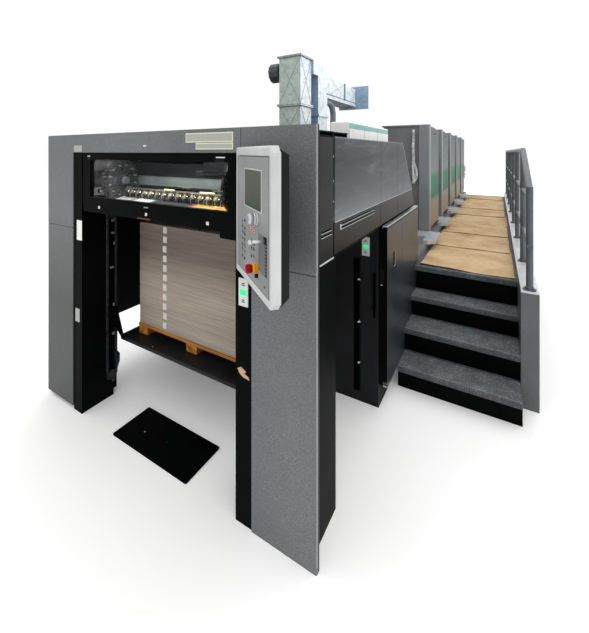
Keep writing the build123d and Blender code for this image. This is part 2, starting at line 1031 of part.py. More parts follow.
def cabinet_body():
    """Closed cabinet behind the pile bay with a set-back plinth."""
    outline = [
        (bay_half_width, 0),
        (bay_half_width, leg_height),
        (cabinet_body_side, leg_height),
        (cabinet_body_side, cabinet_toe),
        (cabinet_body_side - cabinet_toe_setback, cabinet_toe),
        (cabinet_body_side - cabinet_toe_setback, 0),
    ]
    return along(outline, (cabinet_front, cabinet_end))


def cabinet_doors():
    """Two flush doors on one cabinet, the first with a grip recess."""
    x = (cabinet_body_side, press_half_width)
    z = (cabinet_toe, leg_height - cabinet_strip)
    first = block(x, (cabinet_front, cabinet_seam - panel_gap), z)
    grip = block(
        (press_half_width - handle_depth, press_half_width + overrun),
        (handle_y - handle_width / 2, handle_y + handle_width / 2),
        (handle_z - handle_height, handle_z),
    )
    second = block(x, (cabinet_seam, cabinet_end), z)
    return [first - grip, second]


def cabinet_trim():
    """Bright strip along the top of the operator cabinet."""
    return block(
        (cabinet_body_side, press_half_width),
        (cabinet_front, cabinet_end),
        (leg_height - cabinet_strip, leg_height + cabinet_strip),
    )


def bay_wall():
    """Black slotted plate in front of the operator cabinet."""
    y = (bay_wall_front, cabinet_front)
    plate = block((bay_wall_inner, bay_wall_outer), y, (0, leg_height))
    half = bay_slot_width / 2
    for x, low, high in (
        (bay_slot_x, bay_slot_low, bay_slot_high),
        (second_slot_x, second_slot_low, second_slot_high),
    ):
        slot_y = (bay_wall_front - overrun, cabinet_front - bay_slot_backing)
        plate -= block((x - half, x + half), slot_y, (low, high))
    return plate


def bay_back_panel():
    """Black panel that closes the pile bay towards the units."""
    return block(
        (-bay_half_width, bay_half_width),
        (back_panel_y, back_panel_y + back_panel_thickness),
        (0, leg_height),
    )


def drive_bay_panel():
    """Black panel that closes the drive side of the pile bay between the leg and the cabinet."""
    return block(
        (-body_half_width, bay_wall_thickness - body_half_width),
        (leg_depth, cabinet_front),
        (drive_panel_low, leg_height),
    )


def status_plates():
    """Pale plates with a lit lens, on the right strip and on the bay wall."""
    strip_x = (bay_half_width + leg_panel_edge) / 2
    places = ((strip_x, strip_setback), (status_wall_x, bay_wall_front))
    plates = []
    lenses = []
    for x, y in places:
        z = (status_low, status_low + status_height)
        front = y - status_thickness
        plates.append(block((x - status_width / 2, x + status_width / 2), (front, y), z))
        middle = status_low + status_height / 2
        lenses.append(
            block(
                (x - lens_width / 2, x + lens_width / 2),
                (front - lens_raise, front),
                (middle - lens_height / 2, middle + lens_height / 2),
            )
        )
    return plates, lenses


def floor_plate():
    """Thin black plate that lies loose on the floor."""
    plate = block(
        (-floor_plate_half_width, floor_plate_half_width),
        (floor_plate_front, floor_plate_front + floor_plate_depth),
        (0, floor_plate_thickness),
    )
    return fillet(plate.edges().filter_by(Axis.Z), floor_plate_radius)


def machine_bed():
    """Closed bed under the printing units with set-back plinths."""
    plinth = press_half_width - cabinet_toe_setback
    outline = [
        (-plinth, 0),
        (-plinth, cabinet_toe),
        (-press_half_width, cabinet_toe),
        (-press_half_width, bed_top),
        (press_half_width, bed_top),
        (press_half_width, cabinet_toe),
        (plinth, cabinet_toe),
        (plinth, 0),
    ]
    return along(outline, (cabinet_end, press_end))


def track_housing():
    """Sloping housing of the gripper chains between the delivery and the first unit."""
    profile = [
        (back_panel_y, leg_height),
        (back_panel_y, head_wall_top),
        (head_back_top, head_wall_top),
        (unit_start + unit_wall_setback, track_end_top),
        (unit_start + unit_wall_setback, bed_top),
        (cabinet_end, bed_top),
        (track_low_start, leg_height),
    ]
    return across(profile, (-track_half_width, track_half_width))


def unit_cheek(front):
    """Operator-side tower of one unit with a thin top lip."""
    face = front + unit_wall_setback
    back = front + unit_depth

    def plan(lip):
        return [
            (unit_cheek_inner - lip, face - lip),
            (column_side, face - lip),
            (column_side, front + column_depth),
            (unit_door_side, front + column_depth),
            (unit_door_side, back),
            (unit_cheek_inner - lip, back),
        ]

    tower = upright(plan(0), (bed_top, unit_height - unit_lip))
    return tower + upright(plan(unit_lip), (unit_height - unit_lip, unit_height))


def unit_middle(front):
    """Lower middle of one unit with a curved roller guard on top."""
    start = front + unit_wall_setback
    back = front + unit_depth
    outline = Polyline((start, unit_middle_top), (start, bed_top), (back, bed_top), (back, unit_middle_top))
    crown = ThreePointArc(
        (start, unit_middle_top),
        ((start + back) / 2, unit_middle_top + middle_crown),
        (back, unit_middle_top),
    )
    side = Plane.YZ * make_face(outline + crown)
    return extrude(side, unit_cheek_inner, both=True)


def printing_unit(front):
    """Housing of one printing unit: two towers and the curved middle between them."""
    cheek = unit_cheek(front)
    return cheek + drive_side(cheek) + unit_middle(front)


def unit_column(front):
    """Light grey corner column of one unit, on the operator side."""
    column = block(
        (column_side, body_half_width),
        (front, front + column_depth),
        (bed_top, unit_height),
    )
    corner = column.edges().filter_by(Axis.Z).group_by(Axis.X)[-1].sort_by(Axis.Y)[0]
    return fillet(corner, column_radius)


def unit_door(front):
    """Smooth side door of one unit with a grip slot near the top, on the operator side."""
    start = front + column_depth + unit_door_gap
    end = front + unit_depth - unit_door_gap
    door = block(
        (unit_door_side, body_half_width),
        (start, end),
        (unit_door_low, unit_height - unit_door_top_gap),
    )
    middle = (start + end) / 2
    slot = block(
        (body_half_width - door_slot_depth, body_half_width + overrun),
        (middle - door_slot_length / 2, middle + door_slot_length / 2),
        (door_slot_top - door_slot_height, door_slot_top),
    )
    return door - slot


def foot_plate(front):
    """Step plate on the bed in front of one unit, drawn forward in a wing with cut corners."""
    end = front - unit_lip
    start = end - foot_plate_length
    tip = start - foot_plate_tail
    plan = [
        (foot_plate_inner, start),
        (wing_inner, start),
        (wing_inner, tip),
        (foot_plate_outer - foot_plate_corner, tip),
        (foot_plate_outer, tip + foot_plate_corner),
        (foot_plate_outer, end),
        (foot_plate_inner, end),
    ]
    return upright(plan, (bed_top, bed_top + foot_plate_thickness))


def powder_box():
    """Long pale box on the delivery roof with rounded edges."""
    box = block(
        (powder_box_outer - powder_box_width, powder_box_outer),
        (powder_box_start, powder_box_start + powder_box_length),
        (roof_top, roof_top + powder_box_height),
    )
    top = box.edges().group_by(Axis.Z)[-1]
    return fillet(top, powder_box_radius)


def square_duct(x, y, z, joint):
    """Straight square duct with a joint ring at a height."""
    rim_x = (x[0] - duct_flange, x[1] + duct_flange)
    rim_y = (y[0] - duct_flange, y[1] + duct_flange)
    return block(x, y, z) + block(rim_x, rim_y, (joint, joint + duct_flange_height))


def exhaust_duct():
    """Main exhaust duct with its flat cap."""
    y = (duct_front, duct_back)
    duct = square_duct((duct_left, duct_right), y, (roof_top, duct_top), duct_joint_z)
    cap = block(
        (duct_left - duct_flange, duct_right + duct_flange),
        (duct_front - duct_flange, duct_back + duct_flange),
        (duct_top, duct_top + duct_flange),
    )
    return duct + cap


def rear_duct():
    """Second duct with its bend to the main duct and the level run to the back."""
    x = (rear_duct_left, rear_duct_right)
    duct = square_duct(x, (rear_duct_front, rear_duct_back), (roof_top, rear_duct_top), rear_joint_z)
    start = duct_back
    bend_top = duct_top
    bend = Polyline(
        (rear_duct_back, rear_duct_top),
        (start, rear_duct_top),
        (start, bend_top),
        (rear_duct_front, bend_top),
    )
    out_share, up_share = bend_shares
    middle = (rear_duct_front + out_share * duct_size, rear_duct_top + up_share * bend_height)
    curve = ThreePointArc((rear_duct_front, bend_top), middle, (rear_duct_back, rear_duct_top))
    duct += Pos(x[0], 0, 0) * extrude(Plane.YZ * make_face(bend + curve), duct_size)
    duct += block((x[0] + run_inset, x[1] - run_inset), (rear_duct_back, run_end), (run_low, run_high))
    middle = (rear_duct_left + rear_duct_right) / 2 + run_plate_shift
    height = (run_low + run_high) / 2
    plate = block(
        (middle - run_plate_width / 2, middle + run_plate_width / 2),
        (run_end, run_end + run_plate_thickness),
        (height - run_plate_height / 2, height + run_plate_height / 2),
    )
    return duct + plate


def blower():
    """Round blower on the free side of the main duct."""
    y = (duct_front + duct_back) / 2
    neck = duct_left - blower_neck_length
    drum = tube((neck - blower_length, y, blower_z), (neck, y, blower_z), blower_radius)
    return drum + tube((neck, y, blower_z), (duct_left, y, blower_z), blower_neck_radius)


def exhaust_pipe():
    """Thin pipe from the rear duct with a bend of mitred pieces down to the roof."""
    x = rear_duct_right - pipe_inset
    end = rear_duct_back + pipe_reach
    near = pipe_bend * pipe_mitre_share
    path = Polyline(
        (x, rear_duct_back, pipe_high),
        (x, end - pipe_bend, pipe_high),
        (x, end - near, pipe_high - near),
        (x, end, pipe_high - pipe_bend),
        (x, end, roof_top),
    )
    return pipe(path, pipe_radius)


def metal_hose():
    """Metal hose on the first tower, held by a clip at each end."""
    wall = unit_start + unit_wall_setback
    y = wall - hose_radius - hose_clip_gap
    hose = tube((hose_x, y, hose_low), (hose_x, y, hose_high), hose_radius)
    for z in (hose_low, hose_high - hose_clip):
        hose += block((hose_x - hose_radius, hose_x + hose_radius), (y, wall), (z, z + hose_clip))
    return hose


def stair_treads():
    """Grey treads of the gallery stairs with a rounded nosing."""
    treads = []
    for front, end, top in zip(tread_fronts, tread_ends, tread_tops):
        y = (front, end + riser_setback - tread_gap)
        tread = block((press_half_width, gallery_outer), y, (top - tread_thickness, top))
        nosing = tread.edges().filter_by(Axis.X).group_by(Axis.Y)[0]
        treads.append(fillet(nosing, nosing_radius))
    return treads


def stair_risers():
    """Black blocks under the treads, each set back behind its nosing."""
    risers = []
    for front, end, top in zip(tread_fronts, tread_ends, tread_tops):
        y = (front + riser_setback, end + riser_setback - tread_gap)
        risers.append(block((press_half_width, gallery_outer), y, (0, top - tread_thickness)))
    return risers


def gallery_deck():
    """Walkway plate along the units with a rounded front nosing."""
    deck = block(
        (press_half_width, gallery_outer), (deck_front, gallery_end), (deck_top - deck_thickness, deck_top)
    )
    nosing = deck.edges().filter_by(Axis.X).group_by(Axis.Y)[0]
    return fillet(nosing, nosing_radius)


def gallery_base():
    """Closed black base under the walkway."""
    return block(
        (press_half_width, gallery_outer),
        (deck_front + riser_setback, gallery_end),
        (0, deck_top - deck_thickness),
    )


def deck_boards():
    """Loose cardboard sheets laid in a row on the walkway."""
    x = (press_half_width + board_sheet_inset, gallery_outer - board_sheet_margin)
    z = (deck_top, deck_top + board_sheet_thickness)
    first = deck_front + board_sheet_lead
    length = (gallery_end - board_sheet_tail - first) / board_sheet_count
    sheets = []
    for index in range(board_sheet_count):
        start = first + index * length
        sheets.append(block(x, (start, start + length - board_sheet_gap), z))
    return sheets


def gallery_fascia():
    """Tall outer panel box along the stairs and the walkway."""
    return block((gallery_outer, fascia_outer), (fascia_front, gallery_end), (0, fascia_top - fascia_cap))


def fascia_trim():
    """Bright cap along the top of the outer panel."""
    return block(
        (gallery_outer, fascia_outer), (fascia_front, gallery_end), (fascia_top - fascia_cap, fascia_top)
    )


def handrail():
    """Tubular rail on the outer panel: posts, a top rail that drops to the stairs and two middle rails."""
    step = (rail_last_y - rail_second_y) / rail_bays
    posts = [rail_second_y + index * step for index in range(rail_bays + 1)]
    rail = tube((rail_x, rail_first_y, fascia_top), (rail_x, rail_first_y, rail_first_top), rail_radius)
    for y in posts:
        rail += tube((rail_x, y, fascia_top), (rail_x, y, rail_top), rail_radius)
    drop = Polyline(
        (rail_x, rail_first_y, rail_first_top - rail_radius),
        (rail_x, rail_second_y, rail_top),
        (rail_x, rail_last_y, rail_top),
    )
    rail += pipe(drop, rail_radius)
    for height in rail_mid_heights:
        z = fascia_top + height
        rail += tube((rail_x, rail_first_y, z), (rail_x, rail_last_y, z), rail_mid_radius)
    return rail


def feeder_walls():
    """Side walls of the feeder, lower towards the units."""
    profile = [
        (press_end, 0),
        (press_end, feeder_front_top),
        (feeder_slope_start, feeder_front_top),
        (feeder_head_front, feeder_wall_top),
        (feeder_end, feeder_wall_top),
        (feeder_end, 0),
    ]
    wall = across(profile, (feeder_inner, feeder_outer))
    return [wall, drive_side(wall)]


def feed_table():
    """Sloping table from the feeder pile to the last unit."""
    profile = [
        (press_end, feed_table_low),
        (press_end, feed_table_low + feed_table_thickness),
        (feed_table_end, feed_table_high + feed_table_thickness),
        (feed_table_end, feed_table_high),
    ]
    return across(profile, (-feeder_inner, feeder_inner))


def feeder_head():
    """Rounded suction head across the feeder walls."""
    head = block(
        (-feeder_inner, feeder_inner),
        (feeder_head_front, feeder_head_front + feeder_head_depth),
        (feeder_head_low, feeder_head_top),
    )
    return fillet(head.edges().filter_by(Axis.X), feeder_head_radius)


def feeder_pile():
    """Stack of blank sheets in the feeder."""
    y = (feeder_pile_front, feeder_pile_back)
    return block((-pile_half_width, pile_half_width), y, (feeder_pile_low, feeder_pile_top))


def feeder_board():
    """Board under the feeder pile on two feet."""
    y = (feeder_pile_front - feeder_foot_width, feeder_pile_back + feeder_foot_width)
    board = block((-board_half_width, board_half_width), y, (feeder_foot_height, feeder_pile_low))
    for side in (-1, 1):
        x = side * (board_half_width - feeder_foot_width)
        foot = (x - feeder_foot_width / 2, x + feeder_foot_width / 2)
        board += block(foot, y, (0, feeder_foot_height))
    return board


def build():
    """All pieces of the press by name, each a list of solids."""
    plates, lenses = status_plates()
    front_arm, back_arm = hoist_arm(True), hoist_arm(False)
    arms = [front_arm, back_arm, drive_side(front_arm), drive_side(back_arm)]
    wheels = hoist_wheels(hoist_front_y) + hoist_wheels(hoist_back_y) + [hoist_foot()]
    loops = [hoist_loop(side, y) for side in (-1, 1) for y in (hoist_front_y, hoist_back_y)]
    columns = [unit_column(front) for front in unit_fronts]
    doors = [unit_door(front) for front in unit_fronts]
    right_doors = cabinet_doors()
    pieces = {
        "leg_frames": [leg_frame(), drive_side(leg_frame())],
        "leg_covers": [leg_cover(0), drive_side(leg_cover(leg_cover_lift))],
        "upper_covers": [upper_left_cover(), upper_right_cover()],
        "header_cover": [header_cover()],
        "head_walls": [head_wall(), drive_side(head_wall())],
        "delivery_roof": [delivery_roof()],
        "delivery_crossbeam": [crossbeam()],
        "window_frame": [window_frame()],
        "window_glass": [window_glass()],
        "chain_wheels": [chain_wheel(), drive_side(chain_wheel())],
        "gripper_bar": [gripper_bar()],
        "sheet_guides": [sheet_guide(), catch_tray()],
        "console_panel": [console_panel()],
        "console_housing": [console_housing()],
        "console_display": [console_display()],
        "console_controls": console_controls(),
        "emergency_stop": [emergency_stop()],
        "status_plates": plates,
        "status_lenses": lenses,
        "pile_board": [pile_board()],
        "pallet": [pallet()],
        "paper_pile": [paper_pile()],
        "hoist_arms": arms,
        "chain_loops": loops + [gripper_chain(-1), gripper_chain(1)],
        "hoist_wheels": wheels + [drive_side(wheel) for wheel in wheels],
        "side_cover_doors": side_cover_door(),
        "side_cover_panels": [side_cover_front(), side_cover_lower()],
        "drive_side_cover": [drive_side_cover()],
        "bay_cabinets": [cabinet_body(), drive_side(cabinet_body())],
        "cabinet_doors": right_doors + [drive_side(door) for door in right_doors],
        "bright_trim": [cabinet_trim(), drive_side(cabinet_trim()), fascia_trim()],
        "pile_bay_walls": [bay_wall(), bay_back_panel(), drive_bay_panel()],
        "floor_plate": [floor_plate()],
        "track_housing": [track_housing()],
        "machine_bed": [machine_bed()],
        "unit_columns": columns + [drive_side(column) for column in columns],
        "unit_doors": doors + [drive_side(door) for door in doors],
        "foot_plates": [foot_plate(front) for front in unit_fronts],
        "powder_box": [powder_box()],
        "exhaust_duct": [exhaust_duct()],
        "exhaust_blower": [blower()],
        "rear_duct": [rear_duct()],
        "exhaust_pipe": [exhaust_pipe()],
        "metal_hose": [metal_hose()],
        "stair_treads": stair_treads(),
        "gallery_deck": [gallery_deck()],
        "gallery_base": stair_risers() + [gallery_base()],
        "deck_boards": deck_boards(),
        "gallery_fascia": [gallery_fascia()],
        "handrail": [handrail()],
        "feeder_frame": feeder_walls() + [feeder_board()],
        "feed_table": [feed_table()],
        "feeder_head": [feeder_head()],
        "feeder_pile": [feeder_pile()],
    }
    for index, front in enumerate(unit_fronts):
        pieces[f"printing_unit_{index + 1}"] = [printing_unit(front)]
    return pieces


def stand_at_origin(pieces):
    """Move the press so that the bottom centre of its box is the origin."""
    solids = [solid for shapes in pieces.values() for shape in shapes for solid in shape.solids()]
    box = Compound(solids).bounding_box()
    centre = box.center()
    shift = Pos(-centre.X, -centre.Y, -box.min.Z)
    return {name: [shift * shape for shape in shapes] for name, shapes in pieces.items()}, shift


parts, placing = stand_at_origin(build())
os.makedirs("parts", exist_ok=True)
for name, shapes in parts.items():
    solids = [solid for shape in shapes for solid in shape.solids()]
    export_step(Compound(solids), f"parts/{name}.step")
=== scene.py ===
import json
import math
import random
from functools import partial

import bmesh
import bpy
from mathutils import Matrix, Vector

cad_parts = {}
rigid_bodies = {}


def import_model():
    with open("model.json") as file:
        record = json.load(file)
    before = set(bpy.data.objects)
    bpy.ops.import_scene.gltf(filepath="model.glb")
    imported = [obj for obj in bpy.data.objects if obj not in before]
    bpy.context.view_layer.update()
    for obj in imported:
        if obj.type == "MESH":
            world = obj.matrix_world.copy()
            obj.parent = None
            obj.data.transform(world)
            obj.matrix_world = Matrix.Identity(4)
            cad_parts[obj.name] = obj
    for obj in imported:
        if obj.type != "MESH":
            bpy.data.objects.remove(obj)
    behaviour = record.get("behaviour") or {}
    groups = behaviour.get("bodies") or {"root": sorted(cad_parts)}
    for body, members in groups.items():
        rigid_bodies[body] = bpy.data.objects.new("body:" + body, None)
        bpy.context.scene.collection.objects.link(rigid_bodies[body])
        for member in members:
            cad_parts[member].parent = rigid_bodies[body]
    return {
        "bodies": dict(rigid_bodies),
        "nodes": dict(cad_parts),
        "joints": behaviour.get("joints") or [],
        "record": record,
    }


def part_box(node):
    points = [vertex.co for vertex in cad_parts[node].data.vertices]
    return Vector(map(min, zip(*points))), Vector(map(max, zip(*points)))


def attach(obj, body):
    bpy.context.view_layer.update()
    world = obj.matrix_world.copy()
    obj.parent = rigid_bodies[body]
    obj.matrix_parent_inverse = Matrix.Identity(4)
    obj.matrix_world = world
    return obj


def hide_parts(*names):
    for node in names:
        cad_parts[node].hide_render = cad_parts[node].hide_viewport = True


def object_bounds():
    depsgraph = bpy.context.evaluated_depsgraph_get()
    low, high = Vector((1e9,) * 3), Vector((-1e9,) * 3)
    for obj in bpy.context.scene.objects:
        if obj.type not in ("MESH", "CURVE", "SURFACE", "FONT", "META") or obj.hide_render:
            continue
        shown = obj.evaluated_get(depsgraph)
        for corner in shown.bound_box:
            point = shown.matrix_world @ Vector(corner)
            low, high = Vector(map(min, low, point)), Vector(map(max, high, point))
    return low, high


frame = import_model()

bl_info = {
    "name": "Offset Press Looks",
    "version": (1, 0, 0),
    "blender": (4, 5, 0),
    "location": "View3D > Sidebar > Press",
    "description": "Finishes and details for a sheet-fed offset press built on its CAD frame",
    "category": "Object",
}

NODES = frame["nodes"]
CAD_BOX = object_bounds()
PRESS = "press"
HOIST = "pile_hoist"

# Frame of the model: the middle of the sheet path, the delivery front and the floor
LEG_LOW, LEG_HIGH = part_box("leg_covers")
MIDDLE = (LEG_LOW.x + LEG_HIGH.x) / 2
FRONT = LEG_LOW.y
# Drawn details are given in millimetres
MM = 0.001


def at(x, y, z):
    """A place given in millimetres from the sheet path's middle, the delivery front and the floor."""
    return Vector((MIDDLE + x * MM, FRONT + y * MM, z * MM))


def press_box(node):
    """Lowest and highest corner of a CAD node in millimetres of the press."""
    low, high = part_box(node)
    shift = at(0, 0, 0)
    return (low - shift) / MM, (high - shift) / MM


PILE_LOW, PILE_HIGH = press_box("paper_pile")
PALLET_LOW, PALLET_HIGH = press_box("pallet")
FRAME_LOW, FRAME_HIGH = press_box("window_frame")
BEAM_LOW, BEAM_HIGH = press_box("delivery_crossbeam")
HEADER_HIGH = press_box("header_cover")[1]
WHEEL_LOW, WHEEL_HIGH = press_box("chain_wheels")
WHEEL_Y = (WHEEL_LOW.y + WHEEL_HIGH.y) / 2
WHEEL_Z = (WHEEL_LOW.z + WHEEL_HIGH.z) / 2
GRIPPER_LOW, GRIPPER_HIGH = press_box("gripper_bar")
UNIT_BOXES = [press_box(f"printing_unit_{number}") for number in range(1, 6)]
DECK_LOW, DECK_HIGH = press_box("gallery_deck")
FEEDER_LOW, FEEDER_HIGH = press_box("feeder_frame")


class PressSizes(bpy.types.PropertyGroup):
    """Sizes that a user may change before the pieces are built."""

    sheet_step: bpy.props.FloatProperty(
        name="Sheet step", description="Height of one drawn bundle of sheets in the pile",
        default=0.0055, min=0.002, unit="LENGTH",
    )
    link_pitch: bpy.props.FloatProperty(
        name="Link pitch", description="Distance between two rollers of a hoist chain",
        default=0.026, min=0.01, unit="LENGTH",
    )
    rib_pitch: bpy.props.FloatProperty(
        name="Rib pitch", description="Distance between two ribs of the metal hose",
        default=0.011, min=0.004, unit="LENGTH",
    )
    bolt_radius: bpy.props.FloatProperty(
        name="Bolt radius", description="Radius of the cap screws on walls and plates",
        default=0.0065, min=0.003, unit="LENGTH",
    )
    seed: bpy.props.IntProperty(name="Seed", description="Fixed seed of all scatter", default=7)


class PressColours(bpy.types.PropertyGroup):
    """Colours that a user may change before the finishes are made, as sRGB hex."""

    front: bpy.props.StringProperty(name="Front panels", description="Satin grey lacquer", default="#5E6162")
    cover: bpy.props.StringProperty(name="Side covers", description="Dark satin lacquer", default="#191A1B")
    frame: bpy.props.StringProperty(name="Frame", description="Black lacquer of the posts", default="#060707")
    unit: bpy.props.StringProperty(name="Units", description="Dark grey unit walls", default="#656668")
    column: bpy.props.StringProperty(name="Columns", description="Grey corner columns", default="#73777A")
    door: bpy.props.StringProperty(name="Unit doors", description="Pale gloss doors", default="#6E7676")
    console: bpy.props.StringProperty(name="Console", description="Pale grey console", default="#C0C2C2")
    tread: bpy.props.StringProperty(name="Treads", description="Anti-slip tread", default="#7C8085")
    cardboard: bpy.props.StringProperty(name="Cardboard", description="Deck sheets", default="#CDB088")
    rail: bpy.props.StringProperty(name="Rail", description="Blue-grey rail lacquer", default="#4D5256")


# Kinds of shader nodes and the ways in which two colours are mixed
NOISE = "ShaderNodeTexNoise"
CELLS = "ShaderNodeTexVoronoi"
RANGE = "ShaderNodeMapRange"
MAPPING = "ShaderNodeMapping"
SPLIT = "ShaderNodeSeparateXYZ"
BUMP = "ShaderNodeBump"
MIX = "ShaderNodeMix"
BLEND = {"data_type": "RGBA"}
MULTIPLY = {"data_type": "RGBA", "blend_type": "MULTIPLY"}
ADD = {"data_type": "RGBA", "blend_type": "ADD"}
OVERLAY = {"data_type": "RGBA", "blend_type": "OVERLAY"}
BLACK = "#000000"
WHITE = "#FFFFFF"
SPECK_GREY = "#BCBCBC"
# A grain that runs no way in particular
EVEN = (1.0, 1.0, 1.0)


def linear(code):
    """sRGB hex as linear red, green, blue and alpha."""
    channels = [int(code[i : i + 2], 16) / 255 for i in (1, 3, 5)]
    return tuple(c / 12.92 if c <= 0.04045 else ((c + 0.055) / 1.055) ** 2.4 for c in channels) + (1.0,)


def shade(code, factor):
    """The hex colour made lighter or darker."""
    channels = [min(255, max(0, round(int(code[i : i + 2], 16) * factor))) for i in (1, 3, 5)]
    return "#" + "".join(f"{c:02X}" for c in channels)


def per_metre(size_mm):
    """Noise scale that gives features of about this size."""
    return 1 / (size_mm * MM)


def set_inputs(node, links, **inputs):
    """Set a node's input values, and link its inputs to sources given as input: (node, output)."""
    for key, value in inputs.items():
        name = key.replace("_", " ")
        node.inputs[name if name in node.inputs else key].default_value = value
    for key, (source, output) in links.items():
        node.id_data.links.new(source.outputs[output], node.inputs[key])


def add_node(tree, kind, links=None, settings=None, **inputs):
    """Add one node with its settings, input values and links."""
    node = tree.nodes.new(kind)
    for key, value in (settings or {}).items():
        setattr(node, key, value)
    set_inputs(node, links or {}, **inputs)
    return node


def noise(add, place, size_mm, **inputs):
    """Add a noise with features of about this size."""
    return add(NOISE, {"Vector": place}, Scale=per_metre(size_mm), **inputs)


def ramp(add, source, stops):
    """Add a colour ramp over a source, with (position, hex) stops, and give its colour."""
    node = add("ShaderNodeValToRGB", {"Fac": source})
    elements = node.color_ramp.elements
    while len(elements) < len(stops):
        elements.new(0.5)
    for element, (position, code) in zip(elements, stops):
        element.position = position
        element.color = linear(code)
    return node, "Color"


def start_material(name):
    """New node material with its node adder, its shader and its Object coordinates."""
    material = bpy.data.materials.new(name)
    material.use_nodes = True
    add = partial(add_node, material.node_tree)
    shader = material.node_tree.nodes["Principled BSDF"]
    return material, add, shader, (add("ShaderNodeTexCoord"), "Object")


def open_material(material):
    """Node adder and shader of a finished material, its colour's source and new Object coordinates."""
    add = partial(add_node, material.node_tree)
    shader = material.node_tree.nodes["Principled BSDF"]
    link = shader.inputs["Base Color"].links[0]
    return add, shader, (link.from_node, link.from_socket.name), (add("ShaderNodeTexCoord"), "Object")


def lacquer(name, code, roughness, grit_mm=3.0, grit=0.05, cloud_mm=600, cloud=0.1, wear=0.0, sheen=0.4):
    """Sprayed lacquer: fine orange-peel speckle, soft cloudy handling marks and rubbed spots."""
    material, add, shader, place = start_material(name)
    clouds = noise(add, place, cloud_mm, Detail=4.0, Roughness=0.6)
    speck = noise(add, place, grit_mm, Detail=2.0)
    tone = ramp(add, (clouds, "Fac"), ((0.32, shade(code, 1 - cloud)), (0.68, shade(code, 1 + cloud))))
    grains = ((0.3, shade(SPECK_GREY, 1 - grit)), (0.7, shade(SPECK_GREY, 1 + grit)))
    grain = ramp(add, (speck, "Fac"), grains)
    coats = {"A": tone, "B": grain}
    colour = add(MIX, coats, OVERLAY, Factor=min(1.0, grit * 6))
    if wear:
        spot_mm = 90
        rub = noise(add, place, spot_mm, Detail=8.0, Roughness=0.7)
        mask = ramp(add, (rub, "Fac"), ((0.66, BLACK), (0.72, WHITE)))
        coats = {"Factor": mask, "A": (colour, "Result")}
        colour = add(MIX, coats, BLEND, B=linear(shade(code, 1 + wear)))
    gloss = add(RANGE, {"Value": (clouds, "Fac")}, To_Min=roughness * 0.8, To_Max=roughness * 1.2)
    bump = add(BUMP, {"Height": (speck, "Fac")}, Strength=0.08, Distance=0.0006)
    looks = {"Base Color": (colour, "Result"), "Roughness": (gloss, "Result"), "Normal": (bump, "Normal")}
    set_inputs(shader, looks, Specular_IOR_Level=sheen)
    return material


def bare_metal(name, code, roughness, grain_mm, stretch=EVEN, cloud=0.12, stain="", metallic=1.0):
    """Bare sheet or turned metal: drawn-out grain along one axis, cloudy tarnish and optional stains."""
    material, add, shader, place = start_material(name)
    tarnish_mm = 120
    turn = add(MAPPING, {"Vector": place}, Scale=stretch)
    grain = noise(add, (turn, "Vector"), grain_mm, Detail=3.0)
    clouds = noise(add, place, tarnish_mm, Detail=6.0, Roughness=0.65)
    colour = ramp(add, (clouds, "Fac"), ((0.3, shade(code, 1 - cloud)), (0.7, shade(code, 1 + cloud))))
    if stain:
        mask = ramp(add, (clouds, "Fac"), ((0.58, BLACK), (0.66, WHITE)))
        mixed = add(MIX, {"Factor": mask, "A": colour}, BLEND, B=linear(stain))
        colour = (mixed, "Result")
    gloss = add(RANGE, {"Value": (grain, "Fac")}, To_Min=roughness * 0.7, To_Max=roughness * 1.3)
    bump = add(BUMP, {"Height": (grain, "Fac")}, Strength=0.12, Distance=0.0004)
    looks = {"Base Color": colour, "Roughness": (gloss, "Result"), "Normal": (bump, "Normal")}
    set_inputs(shader, looks, Metallic=metallic)
    return material


def spangled_zinc(name, front, side):
    """Hot-dip galvanised duct sheet: flat crystal spangles, with painted reflections that tint the faces
    towards the front and the operator side.
    """
    material, add, shader, place = start_material(name)
    spangle_mm, plain = 28, "#A7AEAF"
    cells = add(CELLS, {"Vector": place}, Scale=per_metre(spangle_mm), Randomness=1.0)
    split = add("ShaderNodeSeparateColor", {"Color": (cells, "Color")})
    facing = add("ShaderNodeNewGeometry")
    normal = add(SPLIT, {"Vector": (facing, "Normal")})
    forward = add(RANGE, {"Value": (normal, "Y")}, From_Min=-0.3, From_Max=-0.9)
    sideways = add(RANGE, {"Value": (normal, "X")}, From_Min=0.3, From_Max=0.9)
    colour = ramp(add, (split, "Red"), ((0.0, shade(plain, 0.93)), (0.5, plain), (1.0, shade(plain, 1.06))))
    # Painted reflections: front faces and operator-side faces take their own tones
    for turned, code in ((forward, front), (sideways, side)):
        tones = ((0.0, shade(code, 0.92)), (0.5, code), (1.0, shade(code, 1.06)))
        tint = ramp(add, (split, "Red"), tones)
        coats = {"Factor": (turned, "Result"), "A": colour, "B": tint}
        colour = (add(MIX, coats, BLEND), "Result")
    gloss = add(RANGE, {"Value": (split, "Green")}, To_Min=0.3, To_Max=0.48)
    set_inputs(shader, {"Base Color": colour, "Roughness": (gloss, "Result")}, Metallic=0.15)
    return material


